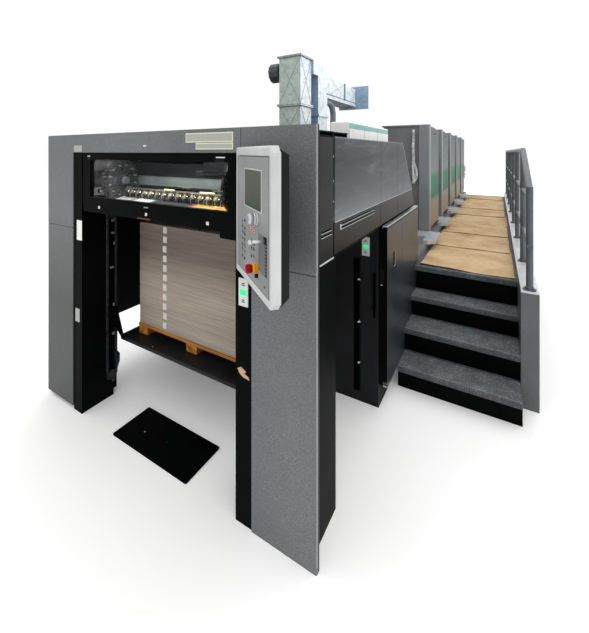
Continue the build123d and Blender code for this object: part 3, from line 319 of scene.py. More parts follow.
def stacked_paper(name, light, top_painted_shade=WHITE):
    """Cut edges of coated paper: level streaks of about 5 by 350 mm, darker bands of ink and dust, and
    painted shade that darkens the pile's upper part.
    """
    material, add, shader, place = start_material(name)
    streaks_per_metre, bands_per_metre = 3.2, 2.0
    flat = add(MAPPING, {"Vector": place}, Scale=(0.9, 0.9, 60.0))
    streak = add(NOISE, {"Vector": (flat, "Vector")}, Scale=streaks_per_metre, Detail=8.0, Roughness=0.7)
    broad = add(MAPPING, {"Vector": place}, Scale=(0.6, 0.6, 9.0))
    bands = add(NOISE, {"Vector": (broad, "Vector")}, Scale=bands_per_metre, Detail=4.0)
    tones = ((0.28, "#857C72"), (0.45, "#A2998D"), (0.6, "#AFA69A"), (0.78, "#C2BAAF"))
    tones = [(share, shade(code, light)) for share, code in tones]
    fine = ramp(add, (streak, "Fac"), tones)
    wide = ramp(add, (bands, "Fac"), ((0.35, shade("#A89D94", light)), (0.65, shade("#D2C9C0", light))))
    edges = add(MIX, {"A": fine, "B": wide}, MULTIPLY, Factor=0.45)
    split = add(SPLIT, {"Vector": place})
    # Painted shade by height: the pile is darkened over its upper part and kept light below
    height = add(RANGE, {"Value": (split, "Z")}, From_Min=PILE_LOW.z * MM, From_Max=PILE_HIGH.z * MM)
    tones = (
        (0.0, "#F2F2F2"), (0.42, WHITE), (0.62, shade(top_painted_shade, 1.18)), (0.75, shade(top_painted_shade, 0.96)),
        (0.88, top_painted_shade), (1.0, shade(top_painted_shade, 1.12)),
    )
    height_shade = ramp(add, (height, "Result"), tones)
    shaded_edges = add(MIX, {"A": (edges, "Result"), "B": height_shade}, MULTIPLY, Factor=1.0)
    bump = add(BUMP, {"Height": (streak, "Fac")}, Strength=0.25, Distance=0.001)
    set_inputs(shader, {"Base Color": (shaded_edges, "Result"), "Normal": (bump, "Normal")}, Roughness=0.72)
    return material


def sawn_pine(name, stretch):
    """Rough pine of a pallet: long grain along one axis, knots and honey to brown growth bands."""
    material, add, shader, place = start_material(name)
    ring_mm = 28
    grain = add(MAPPING, {"Vector": place}, Scale=stretch)
    rings = noise(add, (grain, "Vector"), ring_mm, Detail=6.0, Distortion=0.8)
    tone = ramp(add, (rings, "Fac"), ((0.3, "#6E3E0A"), (0.5, "#A3661A"), (0.68, "#C48A3C")))
    bump = add(BUMP, {"Height": (rings, "Fac")}, Strength=0.3, Distance=0.001)
    set_inputs(shader, {"Base Color": tone, "Normal": (bump, "Normal")}, Roughness=0.78)
    return material


def corrugated_card(code):
    """Kraft cardboard: fine fibre, faint flutes, darker tread and ink stains and scraped spots."""
    material, add, shader, place = start_material("kraft_cardboard")
    fibre_mm, stain_mm, flute_mm, scrape_mm = 5, 310, 7, 55
    fibre = noise(add, place, fibre_mm, Detail=5.0)
    dirt = noise(add, place, stain_mm, Detail=9.0, Roughness=0.68)
    flutes = add(
        "ShaderNodeTexWave", {"Vector": place}, {"bands_direction": "Y"},
        Scale=per_metre(flute_mm) / (2 * math.pi), Distortion=0.6,
    )
    base = ramp(add, (fibre, "Fac"), ((0.3, shade(code, 0.9)), (0.7, shade(code, 1.07))))
    mask = ramp(add, (dirt, "Fac"), ((0.42, WHITE), (0.58, "#E2D8C8"), (0.75, "#9C8668")))
    stained = add(MIX, {"A": base, "B": mask}, MULTIPLY, Factor=0.8)
    drawn = add(MAPPING, {"Vector": place}, Scale=(1.0, 0.35, 1.0))
    scrape = noise(add, (drawn, "Vector"), scrape_mm, Detail=8.0, Roughness=0.72, Distortion=0.6)
    spots = ramp(add, (scrape, "Fac"), ((0.64, BLACK), (0.72, WHITE)))
    coats = {"Factor": spots, "A": (stained, "Result")}
    marked = add(MIX, coats, BLEND, B=linear(shade(code, 0.55)))
    bump = add(BUMP, {"Height": (flutes, "Fac")}, Strength=0.1, Distance=0.0008)
    set_inputs(shader, {"Base Color": (marked, "Result"), "Normal": (bump, "Normal")}, Roughness=0.82)
    return material


def grit_tread(name, code, stud_mm=13.0):
    """Anti-slip coating: sharp grit over a scuffed grey lacquer, drawn coarser than its few millimetres."""
    material, add, shader, place = start_material(name)
    scuff_mm = 140
    cells = add(CELLS, {"Vector": place}, Scale=per_metre(stud_mm))
    scuff = noise(add, place, scuff_mm, Detail=7.0, Roughness=0.7)
    tone = ramp(add, (scuff, "Fac"), ((0.3, shade(code, 0.78)), (0.55, code), (0.75, shade(code, 1.28))))
    dots = ramp(add, (cells, "Distance"), ((0.1, WHITE), (0.3, "#9A9C9E"), (0.5, "#5C5F62")))
    mixed = add(MIX, {"A": tone, "B": dots}, MULTIPLY, Factor=0.75)
    bump = add(BUMP, {"Height": (cells, "Distance")}, {"invert": True}, Strength=0.5, Distance=0.0015)
    set_inputs(shader, {"Base Color": (mixed, "Result"), "Normal": (bump, "Normal")}, Roughness=0.66)
    return material


def clear_sheet():
    """Clear polycarbonate guard: nearly invisible, with a faint grey tint and fine haze."""
    material, add, shader, place = start_material("clear_polycarbonate")
    haze_mm = 80
    haze = noise(add, place, haze_mm, Detail=6.0)
    gloss = add(RANGE, {"Value": (haze, "Fac")}, To_Min=0.02, To_Max=0.1)
    set_inputs(
        shader, {"Roughness": (gloss, "Result")},
        Base_Color=linear("#DDE2E4"), IOR=1.2, Transmission_Weight=1.0, Alpha=0.12,
    )
    return material


def lit(name, code, strength, spot_mm=6.0):
    """Moulded lens lit from behind, brighter in soft spots where its lamps sit; also used for glowing strips
    of painted glint.
    """
    material, add, shader, place = start_material(name)
    spots = noise(add, place, spot_mm, Detail=2.0)
    tone = ramp(add, (spots, "Fac"), ((0.3, shade(code, 0.75)), (0.7, shade(code, 1.1))))
    looks = {"Base Color": tone, "Emission Color": tone}
    set_inputs(shader, looks, Emission_Strength=strength, Roughness=0.25)
    return material


def moulded(name, code, roughness=0.4, texture_mm=1.5, sheen=0.4):
    """Moulded plastic: fine spark-eroded grain and slightly uneven gloss."""
    material, add, shader, place = start_material(name)
    grain = noise(add, place, texture_mm, Detail=2.0)
    tone = ramp(add, (grain, "Fac"), ((0.3, shade(code, 0.93)), (0.7, shade(code, 1.05))))
    gloss = add(RANGE, {"Value": (grain, "Fac")}, To_Min=roughness * 0.85, To_Max=roughness * 1.15)
    looks = {"Base Color": tone, "Roughness": (gloss, "Result")}
    set_inputs(shader, looks, Specular_IOR_Level=sheen)
    return material


def printed_sheet(name, codes, fineness=1.0):
    """Offset print on coated paper: soft patches of ink colour that run into each other."""
    material, add, shader, place = start_material(name)
    patch_mm = 75
    patches = add(
        NOISE, {"Vector": place}, Scale=per_metre(patch_mm) * fineness, Detail=3.0, Roughness=0.5
    )
    tones = [(0.3 + 0.14 * index, code) for index, code in enumerate(codes)]
    tone = ramp(add, (patches, "Fac"), tones)
    set_inputs(shader, {"Base Color": tone}, Roughness=0.4)
    return material


def dusted(material):
    """Sparse pale crumbs of paper dust, about 8 mm and drawn coarser than they are."""
    add, shader, paint, place = open_material(material)
    spacing_mm = 85
    cells = add(CELLS, {"Vector": place}, Scale=per_metre(spacing_mm))
    crumbs = ramp(add, (cells, "Distance"), ((0.035, WHITE), (0.06, BLACK)))
    mixed = add(MIX, {"Factor": crumbs, "A": paint}, BLEND, B=linear("#C8CACB"))
    set_inputs(shader, {"Base Color": (mixed, "Result")})
    return material


def painted_door_sheen(material):
    """Painted sheen on satin lacquer: a painted reflection that pales the lower half, weaker to the rear, and
    slanting smears of painted reflection along wipe marks left by hand.
    """
    add, shader, paint, place = open_material(material)
    # Heights of the doors' upper half, and depths behind the front over which the painted sheen fades
    door_top, door_waist, fade_start, fade_end = 1.78, 1.3, 0.7, 1.5
    wipe_angle, smears_per_metre = math.radians(38), 2.6
    slant = add(MAPPING, {"Vector": place}, Rotation=(wipe_angle, 0, 0), Scale=(1.0, 1.2, 7.0))
    smear = add(
        NOISE, {"Vector": (slant, "Vector")},
        Scale=smears_per_metre, Detail=6.0, Roughness=0.62, Distortion=0.9,
    )
    thin = ramp(add, (smear, "Fac"), ((0.48, BLACK), (0.6, "#2A2B2C"), (0.75, "#5E6062")))
    split = add(SPLIT, {"Vector": place})
    # Painted reflection: a glow added towards the lower half of the doors, weaker to the rear
    low = add(RANGE, {"Value": (split, "Z")}, From_Min=door_top, From_Max=door_waist)
    tones = ((0.0, "#323436"), (0.25, "#2A2C2E"), (0.6, "#464A4D"), (0.84, "#6E7376"))
    glow = ramp(add, (low, "Result"), tones)
    rear = add(
        RANGE, {"Value": (split, "Y")},
        From_Min=FRONT + fade_start, From_Max=FRONT + fade_end, To_Min=0.9, To_Max=0.55,
    )
    sheen_added = add(MIX, {"Factor": (rear, "Result"), "A": paint, "B": glow}, ADD)
    smeared = add(MIX, {"A": (sheen_added, "Result"), "B": thin}, ADD, Factor=0.6)
    set_inputs(shader, {"Base Color": (smeared, "Result")}, IOR=1.3)
    return material


def display_glass():
    """Anti-glare screen glass: olive grey, a little greener towards its lower edge."""
    material, add, shader, place = start_material("screen_glass")
    foot, top = 1.48, 1.63
    split = add(SPLIT, {"Vector": place})
    height = add(RANGE, {"Value": (split, "Z")}, From_Min=foot, From_Max=top)
    tone = ramp(add, (height, "Result"), ((0.0, "#33433A"), (0.35, "#4A5048"), (1.0, "#575B52")))
    set_inputs(shader, {"Base Color": tone}, Roughness=0.35, Specular_IOR_Level=0.3)
    return material


def dark_returns(material):
    """Darken the folded edges of a front panel behind its face, and darken the lower left leg with painted
    shade.
    """
    add, shader, paint, place = open_material(material)
    fold, fade = FRONT + 9 * MM, 2 * MM
    waist, knee, right_end, left_end = 1.25, 0.7, MIDDLE + 0.2, MIDDLE - 0.5
    split = add(SPLIT, {"Vector": place})
    behind = add(RANGE, {"Value": (split, "Y")}, From_Min=fold, From_Max=fold + fade)
    folded = add(MIX, {"Factor": (behind, "Result"), "A": paint}, BLEND, B=linear("#1E2021"))
    # Painted shade: the lower left leg darkens towards the floor
    down = add(RANGE, {"Value": (split, "Z")}, From_Min=waist, From_Max=knee)
    left = add(RANGE, {"Value": (split, "X")}, From_Min=right_end, From_Max=left_end)
    corner = add("ShaderNodeMath", {0: (down, "Result"), 1: (left, "Result")}, {"operation": "MULTIPLY"})
    dull = ramp(add, (corner, "Value"), ((0.0, WHITE), (1.0, "#B4B2B0")))
    left_shaded = add(MIX, {"A": (folded, "Result"), "B": dull}, MULTIPLY, Factor=1.0)
    set_inputs(shader, {"Base Color": (left_shaded, "Result")})
    return material


def door_gloss(code):
    """Grey door lacquer; on the operator side a painted reflection of a broad green band over a tan foot."""
    material, add, shader, place = start_material("gloss_door_lacquer")
    peel_mm = 14
    door_foot, door_top = 0.8, 2.0
    split = add(SPLIT, {"Vector": place})
    height = add(RANGE, {"Value": (split, "Z")}, From_Min=door_foot, From_Max=door_top)
    # Painted reflection on the operator side: green band over a tan foot; plain grey on the drive side
    tones = (
        (0.0, "#9C8566"), (0.26, "#8B8672"), (0.31, "#3A6B50"), (0.36, "#2F7450"),
        (0.5, "#357A56"), (0.56, shade(code, 1.1)), (1.0, shade(code, 0.85)),
    )
    bands = ramp(add, (height, "Result"), tones)
    plain = ramp(add, (height, "Result"), ((0.0, shade(code, 0.8)), (1.0, shade(code, 0.95))))
    across = add(RANGE, {"Value": (split, "X")}, From_Min=MIDDLE, From_Max=MIDDLE + 100 * MM)
    coats = {"Factor": (across, "Result"), "A": plain, "B": bands}
    sides = add(MIX, coats, BLEND)
    peel = noise(add, place, peel_mm, Detail=2.0)
    bump = add(BUMP, {"Height": (peel, "Fac")}, Strength=0.05, Distance=0.001)
    gloss = add(RANGE, {"Value": (peel, "Fac")}, To_Min=0.4, To_Max=0.55)
    looks = {"Base Color": (sides, "Result"), "Roughness": (gloss, "Result"), "Normal": (bump, "Normal")}
    set_inputs(shader, looks, Specular_IOR_Level=0.06)
    return material


MATERIALS = {}


def make_materials(colours):
    """All finishes of the press by the name of their use."""
    satin = lacquer(
        "satin_grey_lacquer", colours.front, 0.45, grit_mm=2.2, grit=0.3, cloud_mm=700, cloud=0.06, sheen=0.3
    )
    dark_satin = lacquer(
        "dark_satin_lacquer", colours.cover, 0.3, grit_mm=4.0, cloud_mm=260, cloud=0.2, wear=0.25, sheen=0.22
    )
    worn_black = {"grit_mm": 4.0, "grit": 0.1, "cloud_mm": 200, "cloud": 0.3, "wear": 0.8}
    made = {
        # Front panels: satin polyurethane on sheet steel, with fine speckle and cloudy sheen, and painted
        # shade on the lower left leg.
        "front": dark_returns(satin),
        # Side covers: darker satin lacquer with a painted sheen: a paler lower half and slanting smears of
        # painted reflection.
        "cover": painted_door_sheen(dark_satin),
        "cover_dark": lacquer(
            "deep_satin_lacquer", "#0D0E0F", 0.3, grit_mm=4.0, cloud_mm=300, cloud=0.2, wear=0.25, sheen=0.1
        ),
        # Cabinet under the covers: blue-black gloss lacquer. Bay walls: matt black lacquer.
        "cabinet": lacquer("blue_black_lacquer", "#2E3337", 0.33, 4.0, cloud_mm=420, cloud=0.15, sheen=0.5),
        "bay": lacquer(
            "matt_bay_lacquer", "#17181A", 0.5, 4.0, 0.1, cloud_mm=300, cloud=0.15, wear=0.3, sheen=0.12
        ),
        # Chain wheels: blackened steel with an oily film.
        "wheel": bare_metal("wheel_steel", "#1B1C1E", 0.42, 5.0, cloud=0.25, metallic=0.35),
        # Posts, beam, window frame and bases: black structure lacquer, rubbed grey in spots.
        "frame": lacquer(
            "black_structure_lacquer", colours.frame, 0.4, grit=0.08,
            cloud_mm=300, cloud=0.25, wear=0.6, sheen=0.02,
        ),
        # Unit towers: dark grey hammer lacquer. Columns, gallery fascia and rail: smoother sprayed greys.
        "unit": lacquer(
            "dark_unit_lacquer", colours.unit, 0.42, grit_mm=5.0, grit=0.08,
            cloud_mm=900, cloud=0.12, sheen=0.3,
        ),
        "fascia": lacquer("fascia_lacquer", "#565859", 0.42, 2.5, 0.15, cloud_mm=500, cloud=0.08),
        "column": lacquer("column_grey_lacquer", colours.column, 0.36, 3.0, 0.06, cloud_mm=800, cloud=0.08),
        "rail": lacquer("rail_lacquer", colours.rail, 0.35, cloud_mm=200, cloud=0.12, wear=0.3),
        # Unit doors: gloss lacquer with an even orange peel, and on the operator side a painted reflection of
        # a green band over a tan foot.
        "door": door_gloss(colours.door),
        # Console face: pale lacquer on aluminium, printed foil over its key field and a darker sub-panel.
        "console": lacquer("pale_console_lacquer", colours.console, 0.4, 2.0, 0.06, cloud_mm=300, cloud=0.05),
        "console_field": lacquer("console_foil", "#868888", 0.45, 2.0, 0.16, cloud_mm=200, cloud=0.05),
        "sub_panel": lacquer("console_sub_panel", "#5E6164", 0.4, 2.5, 0.15, cloud_mm=120, cloud=0.06),
        # Powder box: white baked enamel with a teal stripe.
        "enamel": lacquer("white_baked_enamel", "#EEEFED", 0.3, 3.0, 0.03, cloud_mm=400, cloud=0.04),
        "teal": lacquer("teal_enamel_stripe", "#74B0A8", 0.35, cloud_mm=200, cloud=0.08),
        # Inside of the delivery head: dull dark lacquer that shows little under the lamp.
        "housing": lacquer(
            "dark_inner_lacquer", "#121416", 0.5, grit_mm=4.0, grit=0.1, cloud_mm=200, cloud=0.2, sheen=0.12
        ),
        # Boards that carry the pile: black lacquer scraped by pallets, with paper dust.
        "board": dusted(lacquer("black_board_lacquer", "#050606", 0.5, sheen=0.02, **worn_black)),
        "pile_board": dusted(lacquer("worn_board_lacquer", "#1A1C1E", 0.45, sheen=0.15, **worn_black)),
        # Bright strips and knobs: rolled aluminium, ground steel and turned or plated metal.
        "bright": bare_metal("rolled_aluminium", "#B9BDC0", 0.3, 3.0, (8.0, 0.4, 8.0)),
        "steel": bare_metal("ground_steel", "#9EA3A8", 0.33, 4.0, (0.4, 8.0, 8.0)),
        "knob": bare_metal("satin_chrome", "#BFC2C4", 0.3, 4.0, cloud=0.06, metallic=0.55),
        "chrome": bare_metal("polished_chrome", "#D9DCDE", 0.16, 4.0, cloud=0.06),
        "brass": bare_metal("turned_brass", "#C9B27A", 0.32, 3.0, (8.0, 1.0, 1.0), 0.2, metallic=0.7),
        # Bright trim and scuffed fittings, also drawn as lines and specks of painted highlight along edges of
        # sheet metal.
        "edge_line": bare_metal("bright_cut_edge", "#C2C6C9", 0.35, 3.0, cloud=0.08, metallic=0.35),
        "edge_dull": bare_metal("scuffed_nosing", "#85898C", 0.5, 3.0, cloud=0.15, metallic=0.4),
        # Chains and wheels: oiled, nearly black steel. Sheet guide: brushed plate. Hose: crumpled foil.
        "oiled": bare_metal("oiled_steel", "#3A3B3E", 0.4, 5.0, cloud=0.3, stain="#221D19"),
        "guide": bare_metal("sheet_guide_plate", "#7C8482", 0.45, 5.0, (0.3, 6.0, 6.0), 0.08, metallic=0.3),
        "foil": bare_metal("crumpled_foil_hose", "#C4C7C9", 0.28, 14.0, cloud=0.35, metallic=0.6),
        # Foot plates: worn aluminium with dull stains.
        "chequer": bare_metal("worn_aluminium_plate", "#B4B9BC", 0.42, 6.0, stain="#8E8C87", metallic=0.4),
        # Ducts: hot-dip galvanised sheet with painted reflections on the front and operator-side faces, and
        # creases drawn as lines of painted shade.
        "zinc": spangled_zinc("galvanised_sheet", "#A3B1A8", "#E6EFF5"),
        "zinc_blue": spangled_zinc("galvanised_rear_sheet", "#86A0B8", "#E9F3FA"),
        "crease": moulded("folded_crease", "#86958C", 0.5),
        # Pipe and blower on the roof: grey plastic and dark cast housing.
        "pipe": moulded("grey_pipe_plastic", "#76838B"),
        "blower": moulded("cast_blower_housing", "#3A3E44", 0.5, 4.0),
        # Pile and pallet: coated paper seen on its cut edges, with painted shade over the pile's upper part,
        # and sawn pine with its grain either way.
        "paper": stacked_paper("coated_paper_stack", 1.06, "#B2B0AE"),
        "blank_paper": stacked_paper("blank_paper_stack", 1.35),
        "pine": sawn_pine("sawn_pine", (1.0, 0.08, 1.0)),
        "pine_across": sawn_pine("sawn_pine_boards", (0.08, 1.0, 1.0)),
        # Gallery: kraft cardboard whose cut edges are dark, partly their own colour and partly painted shadow
        # under the sheets' edges, over treads with a grit coating.
        "card": corrugated_card(colours.cardboard),
        "card_edge": moulded("cut_cardboard_edge", "#3A2814", 0.8, 4.0),
        "tread": grit_tread("grit_tread", colours.tread),
        "tread_rib": grit_tread("tread_rib", "#B2B8BE", 15.0),
        "nosing": grit_tread("tread_nosing", "#6E7378", 12.0),
        # Window guard, lenses and lamps lit from behind, and glowing strips of painted glint.
        "glass": clear_sheet(),
        "green": lit("green_lens", "#00D878", 1.0),
        "lamp": lit("lamp_strip", "#F4F6F2", 64.0),
        "glint": lit("lamp_glint", "#FFE9B8", 2.0),
        # Buttons, keys and handles: moulded plastic and rubber with a fine grain. Screen: anti-glare glass.
        "black": moulded("black_plastic", "#0C0D0E", 0.42, sheen=0.1),
        "red": moulded("red_plastic", "#98060C", sheen=0.08),
        "yellow": moulded("yellow_plastic", "#E09A08", sheen=0.2),
        "white": moulded("white_plastic", "#E4E4E0", 0.45),
        "rubber": moulded("black_rubber", "#0A0A0B", 0.75, 2.0, 0.1),
        "dark_red": moulded("dark_red_plastic", "#5E0F14", 0.45),
        "orange": moulded("orange_key_caps", "#C77A4A", 0.45),
        "green_key": moulded("green_key_cap", "#2E8F57"),
        "screen": display_glass(),
        # Thin dark joints, printed rules and gaskets, and black sheets of painted shadow in deep slots.
        "void": moulded("deep_slot_shadow", "#020203", 0.9, 2.0, 0.0),
        "seam": moulded("dark_joint", "#141516", 0.6, sheen=0.1),
        # Marker slips in the pile, bare name plates without any print, and a patch worn to the primer.
        "tag": moulded("marker_slip", "#D2D2CB", 0.7),
        "cream": moulded("cream_plate_rim", "#D8D3B4", 0.5),
        "bare_plate": moulded("bare_name_plate", "#9EA29B"),
        "tan": moulded("worn_bare_patch", "#B79A78", 0.7, 6.0),
        # Sheets behind the window and on the pile: ink on coated paper in plain patches.
        "printed": printed_sheet("printed_sheet", ("#B9B4AC", "#8A7F78", "#A7968B", "#6F7A80")),
        "white_sheet": printed_sheet("white_sheet", ("#E9E9E6", "#DCDCD9", "#EFEFEC", "#E2E2DE")),
        "pale_sheet": printed_sheet("pale_sheet", ("#B9BBBB", "#A7AAAB", "#C4C5C4", "#AEB0B0")),
        "grey_sheet": printed_sheet("grey_sheet", ("#33383A", "#272B2D", "#44494B", "#373B3D")),
        "colour_print": printed_sheet("colour_print", ("#FFC03C", "#FF9434", "#FFE68C", "#FFA43C"), 2.0),
        "yellow_print": printed_sheet("yellow_print", ("#F2D838", "#F6E56A", "#E9C42A", "#F4B93A"), 2.0),
        "pink_print": printed_sheet("pink_print", ("#D9477F", "#E2719A", "#C2366C", "#E99AB0"), 2.0),
    }
    MATERIALS.update(made)


NODE_FINISH = {
    "leg_frames": "frame", "leg_covers": "front", "upper_covers": "front", "header_cover": "front",
    "head_walls": "frame", "delivery_roof": "cover", "delivery_crossbeam": "frame", "window_frame": "frame",
    "window_glass": "glass", "chain_wheels": "wheel", "gripper_bar": "wheel", "sheet_guides": "guide",
    "console_panel": "console", "console_housing": "black", "console_display": "screen",
    "console_controls": "steel", "emergency_stop": "red", "status_plates": "console",
    "status_lenses": "green", "pile_board": "pile_board", "pallet": "pine", "paper_pile": "paper",
    "hoist_arms": "frame", "chain_loops": "oiled", "hoist_wheels": "oiled", "side_cover_doors": "cover",
    "side_cover_panels": "cover_dark", "drive_side_cover": "cover_dark", "bay_cabinets": "frame",
    "cabinet_doors": "cabinet", "bright_trim": "edge_line", "pile_bay_walls": "bay", "floor_plate": "board",
    "track_housing": "unit", "machine_bed": "unit", "unit_columns": "column", "unit_doors": "door",
    "foot_plates": "chequer", "powder_box": "enamel", "exhaust_duct": "zinc", "exhaust_blower": "blower",
    "rear_duct": "zinc_blue", "exhaust_pipe": "pipe", "metal_hose": "zinc", "stair_treads": "tread",
    "gallery_deck": "tread", "gallery_base": "frame", "deck_boards": "card", "gallery_fascia": "fascia",
    "handrail": "rail", "feeder_frame": "unit", "feed_table": "steel", "feeder_head": "column",
    "feeder_pile": "paper",
}


class PRESS_OT_finishes(bpy.types.Operator):
    """Give every CAD node its finish"""

    bl_idname = "press.finishes"
    bl_label = "Finishes"

    def execute(self, context):
        make_materials(context.scene.press_colours)
        for name, node in NODES.items():
            finish = MATERIALS[NODE_FINISH.get(name, "unit")]
            node.data.materials.clear()
            node.data.materials.append(finish)
        return {"FINISHED"}


class Shape:
    """A mesh built up from blocks, bars and sheets in millimetres, each with its own finish."""

    def __init__(self, frame=None):
        self.frame = frame or Matrix.Translation(at(0, 0, 0))
        self.mesh = bmesh.new()
        self.finishes = []

    def paint_round(self, corners, finish):
        """Give the faces round new corners their finish."""
        faces = {face for corner in corners for face in corner.link_faces}
        self.paint(faces, finish)
        return faces

    def paint(self, faces, finish):
        """Give new faces their finish."""
        if finish not in self.finishes:
            self.finishes.append(finish)
        for face in faces:
            face.material_index = self.finishes.index(finish)

    def block(self, low, high, finish, bevel=0.0):
        """Block between two corners, with its edges broken by a bevel."""
        low, high = Vector(low) * MM, Vector(high) * MM
        placed = self.frame @ Matrix.Translation((low + high) / 2) @ Matrix.Diagonal((*(high - low), 1))
        corners = bmesh.ops.create_cube(self.mesh, size=1, matrix=placed)["verts"]
        self.paint_round(corners, finish)
        if bevel:
            edges = dict.fromkeys(edge for corner in corners for edge in corner.link_edges)
            bmesh.ops.bevel(
                self.mesh, geom=list(edges), offset=bevel * MM, segments=2, affect="EDGES", profile=0.5,
                material=self.finishes.index(finish),
            )

    def bar(self, start, end, radius, finish, sides=16, end_radius=None):
        """Round bar between two points, tapered where an end radius is given."""
        start, end = self.frame @ (Vector(start) * MM), self.frame @ (Vector(end) * MM)
        reach = end - start
        turn = reach.to_track_quat("Z", "Y").to_matrix().to_4x4()
        corners = bmesh.ops.create_cone(
            self.mesh, cap_ends=True, segments=sides, radius1=radius * MM,
            radius2=(radius if end_radius is None else end_radius) * MM, depth=reach.length,
            matrix=Matrix.Translation((start + end) / 2) @ turn,
        )["verts"]
        for face in self.paint_round(corners, finish):
            face.smooth = len(face.verts) == 4

    def turned(self, centre, axis, steps):
        """Turned part: steps along one axis as (start, end, radius, finish, sides, end radius if tapered)."""
        centre, axis = Vector(centre), Vector(axis)
        for start, end, *form in steps:
            self.bar(centre + start * axis, centre + end * axis, *form)

    def ball(self, centre, radius, finish):
        """Round ball."""
        placed = self.frame @ Matrix.Translation(Vector(centre) * MM)
        corners = bmesh.ops.create_uvsphere(
            self.mesh, u_segments=16, v_segments=10, radius=radius * MM, matrix=placed
        )["verts"]
        for face in self.paint_round(corners, finish):
            face.smooth = True

    def prism(self, outline, depth, finish):
        """Outline of points drawn out by a vector."""
        depth = Vector(depth)
        ends = []
        for shift in (Vector(), depth):
            points = [self.frame @ ((Vector(point) + shift) * MM) for point in outline]
            ends.append([self.mesh.verts.new(point) for point in points])
        first, last = ends
        faces = [self.mesh.faces.new(list(reversed(first))), self.mesh.faces.new(last)]
        for index in range(len(outline)):
            following = (index + 1) % len(outline)
            corners = (first[index], first[following], last[following], last[index])
            faces.append(self.mesh.faces.new(corners))
        self.paint(faces, finish)

    def strip(self, lower, upper, finish, smooth=True):
        """Single skin between two rows of points."""
        rows = [[self.mesh.verts.new(self.frame @ (Vector(p) * MM)) for p in row] for row in (lower, upper)]
        faces = []
        for index in range(len(lower) - 1):
            corners = (rows[0][index], rows[0][index + 1], rows[1][index + 1], rows[1][index])
            face = self.mesh.faces.new(corners)
            face.smooth = smooth
            faces.append(face)
        self.paint(faces, finish)

    def plain_mesh(self, name):
        """Mesh with its faces turned outwards; the shape is used up."""
        bmesh.ops.recalc_face_normals(self.mesh, faces=self.mesh.faces)
        mesh = bpy.data.meshes.new(name)
        self.mesh.to_mesh(mesh)
        self.mesh.free()
        return mesh

    def piece(self, name, slot, body=PRESS, stands_for=()):
        """Finish the mesh as one piece of the press."""
        return new_piece(name, self.plain_mesh(name), self.finishes, body, stands_for)


def new_piece(name, mesh, finishes, body=PRESS, stands_for=()):
    """Link a finished mesh and let it ride on its body."""
    piece = bpy.data.objects.new(name, mesh)
    bpy.context.scene.collection.objects.link(piece)
    for finish in finishes:
        mesh.materials.append(MATERIALS[finish])
    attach(piece, body)
    if stands_for:
        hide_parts(*stands_for)
    return piece


def group_tree(name, inputs):
    """New geometry group with named inputs, its input node and its output node."""
    tree = bpy.data.node_groups.new(name, "GeometryNodeTree")
    tree.interface.new_socket("Geometry", in_out="INPUT", socket_type="NodeSocketGeometry")
    for label, kind in inputs:
        tree.interface.new_socket(label, in_out="INPUT", socket_type=kind)
    tree.interface.new_socket("Geometry", in_out="OUTPUT", socket_type="NodeSocketGeometry")
    return tree, tree.nodes.new("NodeGroupInput"), tree.nodes.new("NodeGroupOutput")


def finish_tree(tree, source, entry, leave):
    """End a geometry group: instances made real, with the finish of the group's input."""
    real = add_node(tree, "GeometryNodeRealizeInstances", {"Geometry": (source, "Instances")})
    painted = add_node(
        tree, "GeometryNodeSetMaterial", {"Geometry": (real, "Geometry"), "Material": (entry, "Finish")}
    )
    set_inputs(leave, {"Geometry": (painted, "Geometry")})


def path_tree():
    """Group that sets an item at an even pitch along a path, its Z axis along the path."""
    tree, entry, leave = group_tree(
        "items_along_path",
        (("Item", "NodeSocketObject"), ("Pitch", "NodeSocketFloat"), ("Finish", "NodeSocketMaterial")),
    )
    curve = add_node(tree, "GeometryNodeMeshToCurve", {"Mesh": (entry, "Geometry")})
    points = add_node(
        tree, "GeometryNodeCurveToPoints", {"Curve": (curve, "Curve"), "Length": (entry, "Pitch")},
        {"mode": "LENGTH"},
    )
    item = add_node(tree, "GeometryNodeObjectInfo", {"Object": (entry, "Item")})
    placed = add_node(
        tree, "GeometryNodeInstanceOnPoints",
        {"Points": (points, "Points"), "Instance": (item, "Geometry"), "Rotation": (points, "Rotation")},
    )
    finish_tree(tree, placed, entry, leave)
    return tree


def point_tree():
    """Group that sets an item on every point of a mesh, turned a little by a fixed seed."""
    tree, entry, leave = group_tree(
        "items_on_points",
        (("Item", "NodeSocketObject"), ("Turn", "NodeSocketFloat"), ("Seed", "NodeSocketInt"),
         ("Axis", "NodeSocketVector"), ("Finish", "NodeSocketMaterial")),
    )
    points = add_node(tree, "GeometryNodeMeshToPoints", {"Mesh": (entry, "Geometry")})
    item = add_node(tree, "GeometryNodeObjectInfo", {"Object": (entry, "Item")})
    spin = add_node(
        tree, "FunctionNodeRandomValue", {"Max": (entry, "Turn"), "Seed": (entry, "Seed")},
        {"data_type": "FLOAT"},
    )
    turned = add_node(
        tree, "FunctionNodeAxisAngleToRotation", {"Axis": (entry, "Axis"), "Angle": (spin, "Value")}
    )
    placed = add_node(
        tree, "GeometryNodeInstanceOnPoints",
        {"Points": (points, "Points"), "Instance": (item, "Geometry"), "Rotation": (turned, "Rotation")},
    )
    finish_tree(tree, placed, entry, leave)
    return tree


